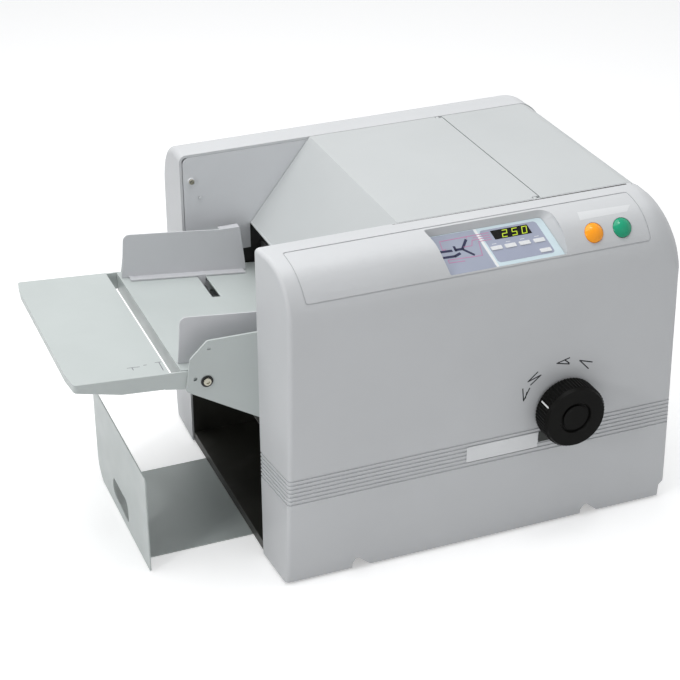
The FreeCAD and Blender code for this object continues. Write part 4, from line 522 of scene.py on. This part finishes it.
def screwHead(radius, seat, height, socket):  # a pan head with a six-sided socket, its top along Z
    bm = bmesh.new()
    bmesh.ops.create_cone(bm, cap_ends=True, segments=screws["segments"], radius1=radius, radius2=radius,
                          depth=height - seat, matrix=Matrix.Translation((0, 0, (height + seat) / 2)))
    easeEdges(bm, list(topFace(bm).edges), (height - seat) * screws["round"], screws["roundSegments"])
    top = topFace(bm)
    reach = max(math.hypot(v.co.x, v.co.y) for v in top.verts)
    bmesh.ops.inset_region(bm, faces=[top], thickness=reach - socket, use_even_offset=True)
    for vert in top.verts:  # the ring is pulled to six flats
        angle = math.atan2(vert.co.y, vert.co.x) % (math.pi / 3) - math.pi / 6
        wide = socket * math.cos(math.pi / 6) / math.cos(angle) / math.hypot(vert.co.x, vert.co.y)
        vert.co.x, vert.co.y = vert.co.x * wide, vert.co.y * wide
    bmesh.ops.inset_region(bm, faces=[top], thickness=screws["draft"],
                           depth=-(height - seat) * screws["deep"], use_even_offset=True)
    return bm


def repeated(bm, places):  # the shape at each place
    shape = bm.verts[:] + bm.edges[:] + bm.faces[:]
    copies = [shape] + [bmesh.ops.duplicate(bm, geom=shape)["geom"] for place in places[1:]]
    for copy, place in zip(copies, places):
        bmesh.ops.transform(bm, matrix=place, verts=[g for g in copy if isinstance(g, bmesh.types.BMVert)])
    return bm


# the shoulder screws that the feed table turns on, with black washers
pivot = {"head": 4.3, "seat": 1.0, "high": 3.0, "socket": 2.4, "shank": 3.5, "shankSegments": 36,
         "washer": (3.6, 6.6), "washerSegments": 48, "ease": 0.2, "nut": 6.5, "nutFrom": 6.0, "nutTo": 9.0,
         "shankEnd": 8.5}
pivotLow, pivotHigh = (toDesk.inverted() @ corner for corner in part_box("table_pivots"))
pivotLine = ((pivotLow.x + pivotHigh.x) / 2, (pivotLow.z + pivotHigh.z) / 2)
pivotSeats = ((pivotLow.y + pivot["high"], math.pi / 2), (pivotHigh.y - pivot["high"], -math.pi / 2))
pivotPlaces = [toDesk @ Matrix.Translation((pivotLine[0], y, pivotLine[1])) @ Matrix.Rotation(turn, 4, "X")
               for y, turn in pivotSeats]
pivotBody = bodyOf["table_pivots"]
bm = screwHead(pivot["head"], pivot["seat"], pivot["high"], pivot["socket"])
bmesh.ops.create_cone(bm, cap_ends=True, segments=pivot["shankSegments"], radius1=pivot["shank"],
                      radius2=pivot["shank"], depth=pivot["shankEnd"] + pivot["seat"],
                      matrix=Matrix.Translation((0, 0, (pivot["seat"] - pivot["shankEnd"]) / 2)))
bmesh.ops.create_cone(bm, cap_ends=True, segments=6, radius1=pivot["nut"], radius2=pivot["nut"],
                      depth=pivot["nutTo"] - pivot["nutFrom"],
                      matrix=Matrix.Translation((0, 0, -(pivot["nutFrom"] + pivot["nutTo"]) / 2)))
piece = newPiece("pivotScrews", repeated(bm, pivotPlaces), pivotBody, "zincScrew")
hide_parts("table_pivots")
bm = bmesh.new()
inner, outer = pivot["washer"]
ease = pivot["ease"]
section = [bm.verts.new((radius, 0, z)) for radius, z in (
    (inner, 0), (outer - ease, 0), (outer, ease), (outer, pivot["seat"] - ease),
    (outer - ease, pivot["seat"]), (inner, pivot["seat"]))]
loop = [bm.edges.new((a, b)) for a, b in zip(section, section[1:] + section[:1])]
bmesh.ops.spin(bm, geom=section + loop, cent=(0, 0, 0), axis=(0, 0, 1), angle=math.tau,
               steps=pivot["washerSegments"], use_merge=True)
newPiece("pivotWashers", repeated(bm, pivotPlaces), pivotBody, "bushPlastic")

# the screw in the rear plate's stud, and the shallow dimple under it
plateFront = (toDesk.inverted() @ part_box("rear_side_plate")[0]).y


def onPlate(centre, deep):  # a place on the rear plate, its Z outwards
    place = Matrix.Translation((centre[0], plateFront + deep, centre[1]))
    return toDesk @ place @ Matrix.Rotation(math.pi / 2, 4, "X")


panelScrew = {"centre": (13.0, 342.0), "head": 3.3, "high": 1.7, "socket": 1.7}
bm = screwHead(panelScrew["head"], 0.0, panelScrew["high"], panelScrew["socket"])
screwPlaces = [onPlate(panelScrew["centre"], 0.0)]
newPiece("panelScrew", repeated(bm, screwPlaces), "casing", "zincScrew")

dimple = {"centre": (23.0, 320.0), "radius": 2.0, "deep": 0.3, "thick": 1.2, "ease": 0.25, "segments": 36,
          "easeSegments": 2}
bm = bmesh.new()
bmesh.ops.create_cone(bm, cap_ends=True, segments=dimple["segments"], radius1=dimple["radius"],
                      radius2=dimple["radius"], depth=dimple["thick"])
rims = [e for e in bm.edges if abs(e.verts[0].co.z - e.verts[1].co.z) < dimple["ease"]]
easeEdges(bm, rims, dimple["ease"], dimple["easeSegments"])
dimplePlaces = [onPlate(dimple["centre"], dimple["deep"] + dimple["thick"] / 2)]
newPiece("plateDimple", repeated(bm, dimplePlaces), "casing", "platePaint")

# the printed scale on the feed table
tableMarks = {"thick": 1.0, "lift": (-0.03, 0.05),
              "lines": (((-102.0, 94.0), (-95.6, 94.0)), ((-98.0, 93.0), (-98.6, 76.0)),
                        ((-133.0, 89.5), (-120.0, 89.5)), ((-128.0, 89.5), (-128.0, 84.0)),
                        ((-115.0, 91.5), (-112.0, 91.5)))}
bm = drawn(tableMarks, *tableMarks["lift"])
laidOn(bm, surfaceOf("feed_table"), False)
newPiece("tableMarks", bm, bodyOf["feed_table"], "printGrey")
print("knob, screws and table marks done")

camera = {"lens": 94.62, "place": (-520.85, -1470.84, 1155.11), "turn": (61.347, 0.5615, -21.227),
          "shift": (0.03426, -0.00258), "sensor": 36.0}
cameraData = bpy.data.cameras.new("camera")
cameraData.lens = camera["lens"]
cameraData.sensor_width = camera["sensor"]
cameraData.shift_x, cameraData.shift_y = camera["shift"]
cameraObject = bpy.data.objects.new("camera", cameraData)
cameraObject.location = at(*camera["place"])
cameraObject.rotation_euler = [math.radians(a) for a in camera["turn"]]
bpy.context.scene.collection.objects.link(cameraObject)
bpy.context.scene.camera = cameraObject

lamps = {"top": {"place": (-0.35, 0.25, 1.9), "aim": (0.0, 0.0, 0.1), "size": 1.7, "power": 22.5},
         "glint": {"place": (0.30, -0.28, 1.9), "aim": (0.20, -0.15, 0.2), "size": 0.4, "power": 4.0},
         "left": {"place": (-1.9, -0.9, 1.1), "aim": (0.0, 0.0, 0.15), "size": 0.36, "power": 9.6},
         "front": {"place": (0.9, -2.1, 1.0), "aim": (0.1, 0.0, 0.15), "size": 1.4, "power": 1.3}}
for name, lamp in lamps.items():
    data = bpy.data.lights.new(name + "Lamp", "AREA")
    data.size = lamp["size"]
    data.energy = lamp["power"]
    lampObject = bpy.data.objects.new(name + "Lamp", data)
    lampObject.location = lamp["place"]
    aim = Vector(lamp["aim"]) - Vector(lamp["place"])
    lampObject.rotation_euler = aim.to_track_quat("-Z", "Y").to_euler()
    bpy.context.scene.collection.objects.link(lampObject)


def directRays(nodes, links):  # 1 for rays that show the background, and 0 for those that light the object
    path = nodes.new("ShaderNodeLightPath")
    kinds = [path.outputs[name] for name in ("Is Camera Ray", "Is Glossy Ray", "Is Transmission Ray")]
    return joined(nodes, links, "MAXIMUM", kinds)


daylight = {"colour": (0.96, 0.98, 1.0, 1.0), "strength": 0.41, "background": (1.0, 1.0, 1.0, 1.0)}
world = bpy.data.worlds.new("studio")
bpy.context.scene.world = world
world.use_nodes = True
nodes, links = world.node_tree.nodes, world.node_tree.links
soft = nodes["Background"]
soft.inputs["Color"].default_value = daylight["colour"]
soft.inputs["Strength"].default_value = daylight["strength"]
white = nodes.new("ShaderNodeBackground")
white.inputs["Color"].default_value = daylight["background"]
either = nodes.new("ShaderNodeMixShader")
links.new(directRays(nodes, links), either.inputs[0])
links.new(soft.outputs[0], either.inputs[1])
links.new(white.outputs[0], either.inputs[2])
links.new(either.outputs[0], nodes["World Output"].inputs["Surface"])

floorLook = {"size": 8.0, "colour": (0.80, 0.80, 0.80, 1.0), "rough": 0.9, "lift": 0.42,
             "liftColour": (1.0, 1.0, 1.0, 1.0)}
bm = bmesh.new()
bmesh.ops.create_grid(bm, x_segments=1, y_segments=1, size=floorLook["size"])
mesh = bpy.data.meshes.new("floor")
bm.to_mesh(mesh)
bm.free()
floor = bpy.data.objects.new("floor", mesh)
bpy.context.scene.collection.objects.link(floor)
material = bpy.data.materials.new("paleFloor")
material.use_nodes = True
nodes, links = material.node_tree.nodes, material.node_tree.links
shader = nodes["Principled BSDF"]
shader.inputs["Base Color"].default_value = floorLook["colour"]
shader.inputs["Roughness"].default_value = floorLook["rough"]
shader.inputs["Emission Color"].default_value = floorLook["liftColour"]
lift = nodes.new("ShaderNodeMath")
lift.operation = "MULTIPLY"
lift.inputs[1].default_value = floorLook["lift"]
links.new(directRays(nodes, links), lift.inputs[0])
links.new(lift.outputs[0], shader.inputs["Emission Strength"])
mesh.materials.append(material)
print("camera, lamps, world and floor done")

bpy.context.scene.view_settings.view_transform = "Standard"
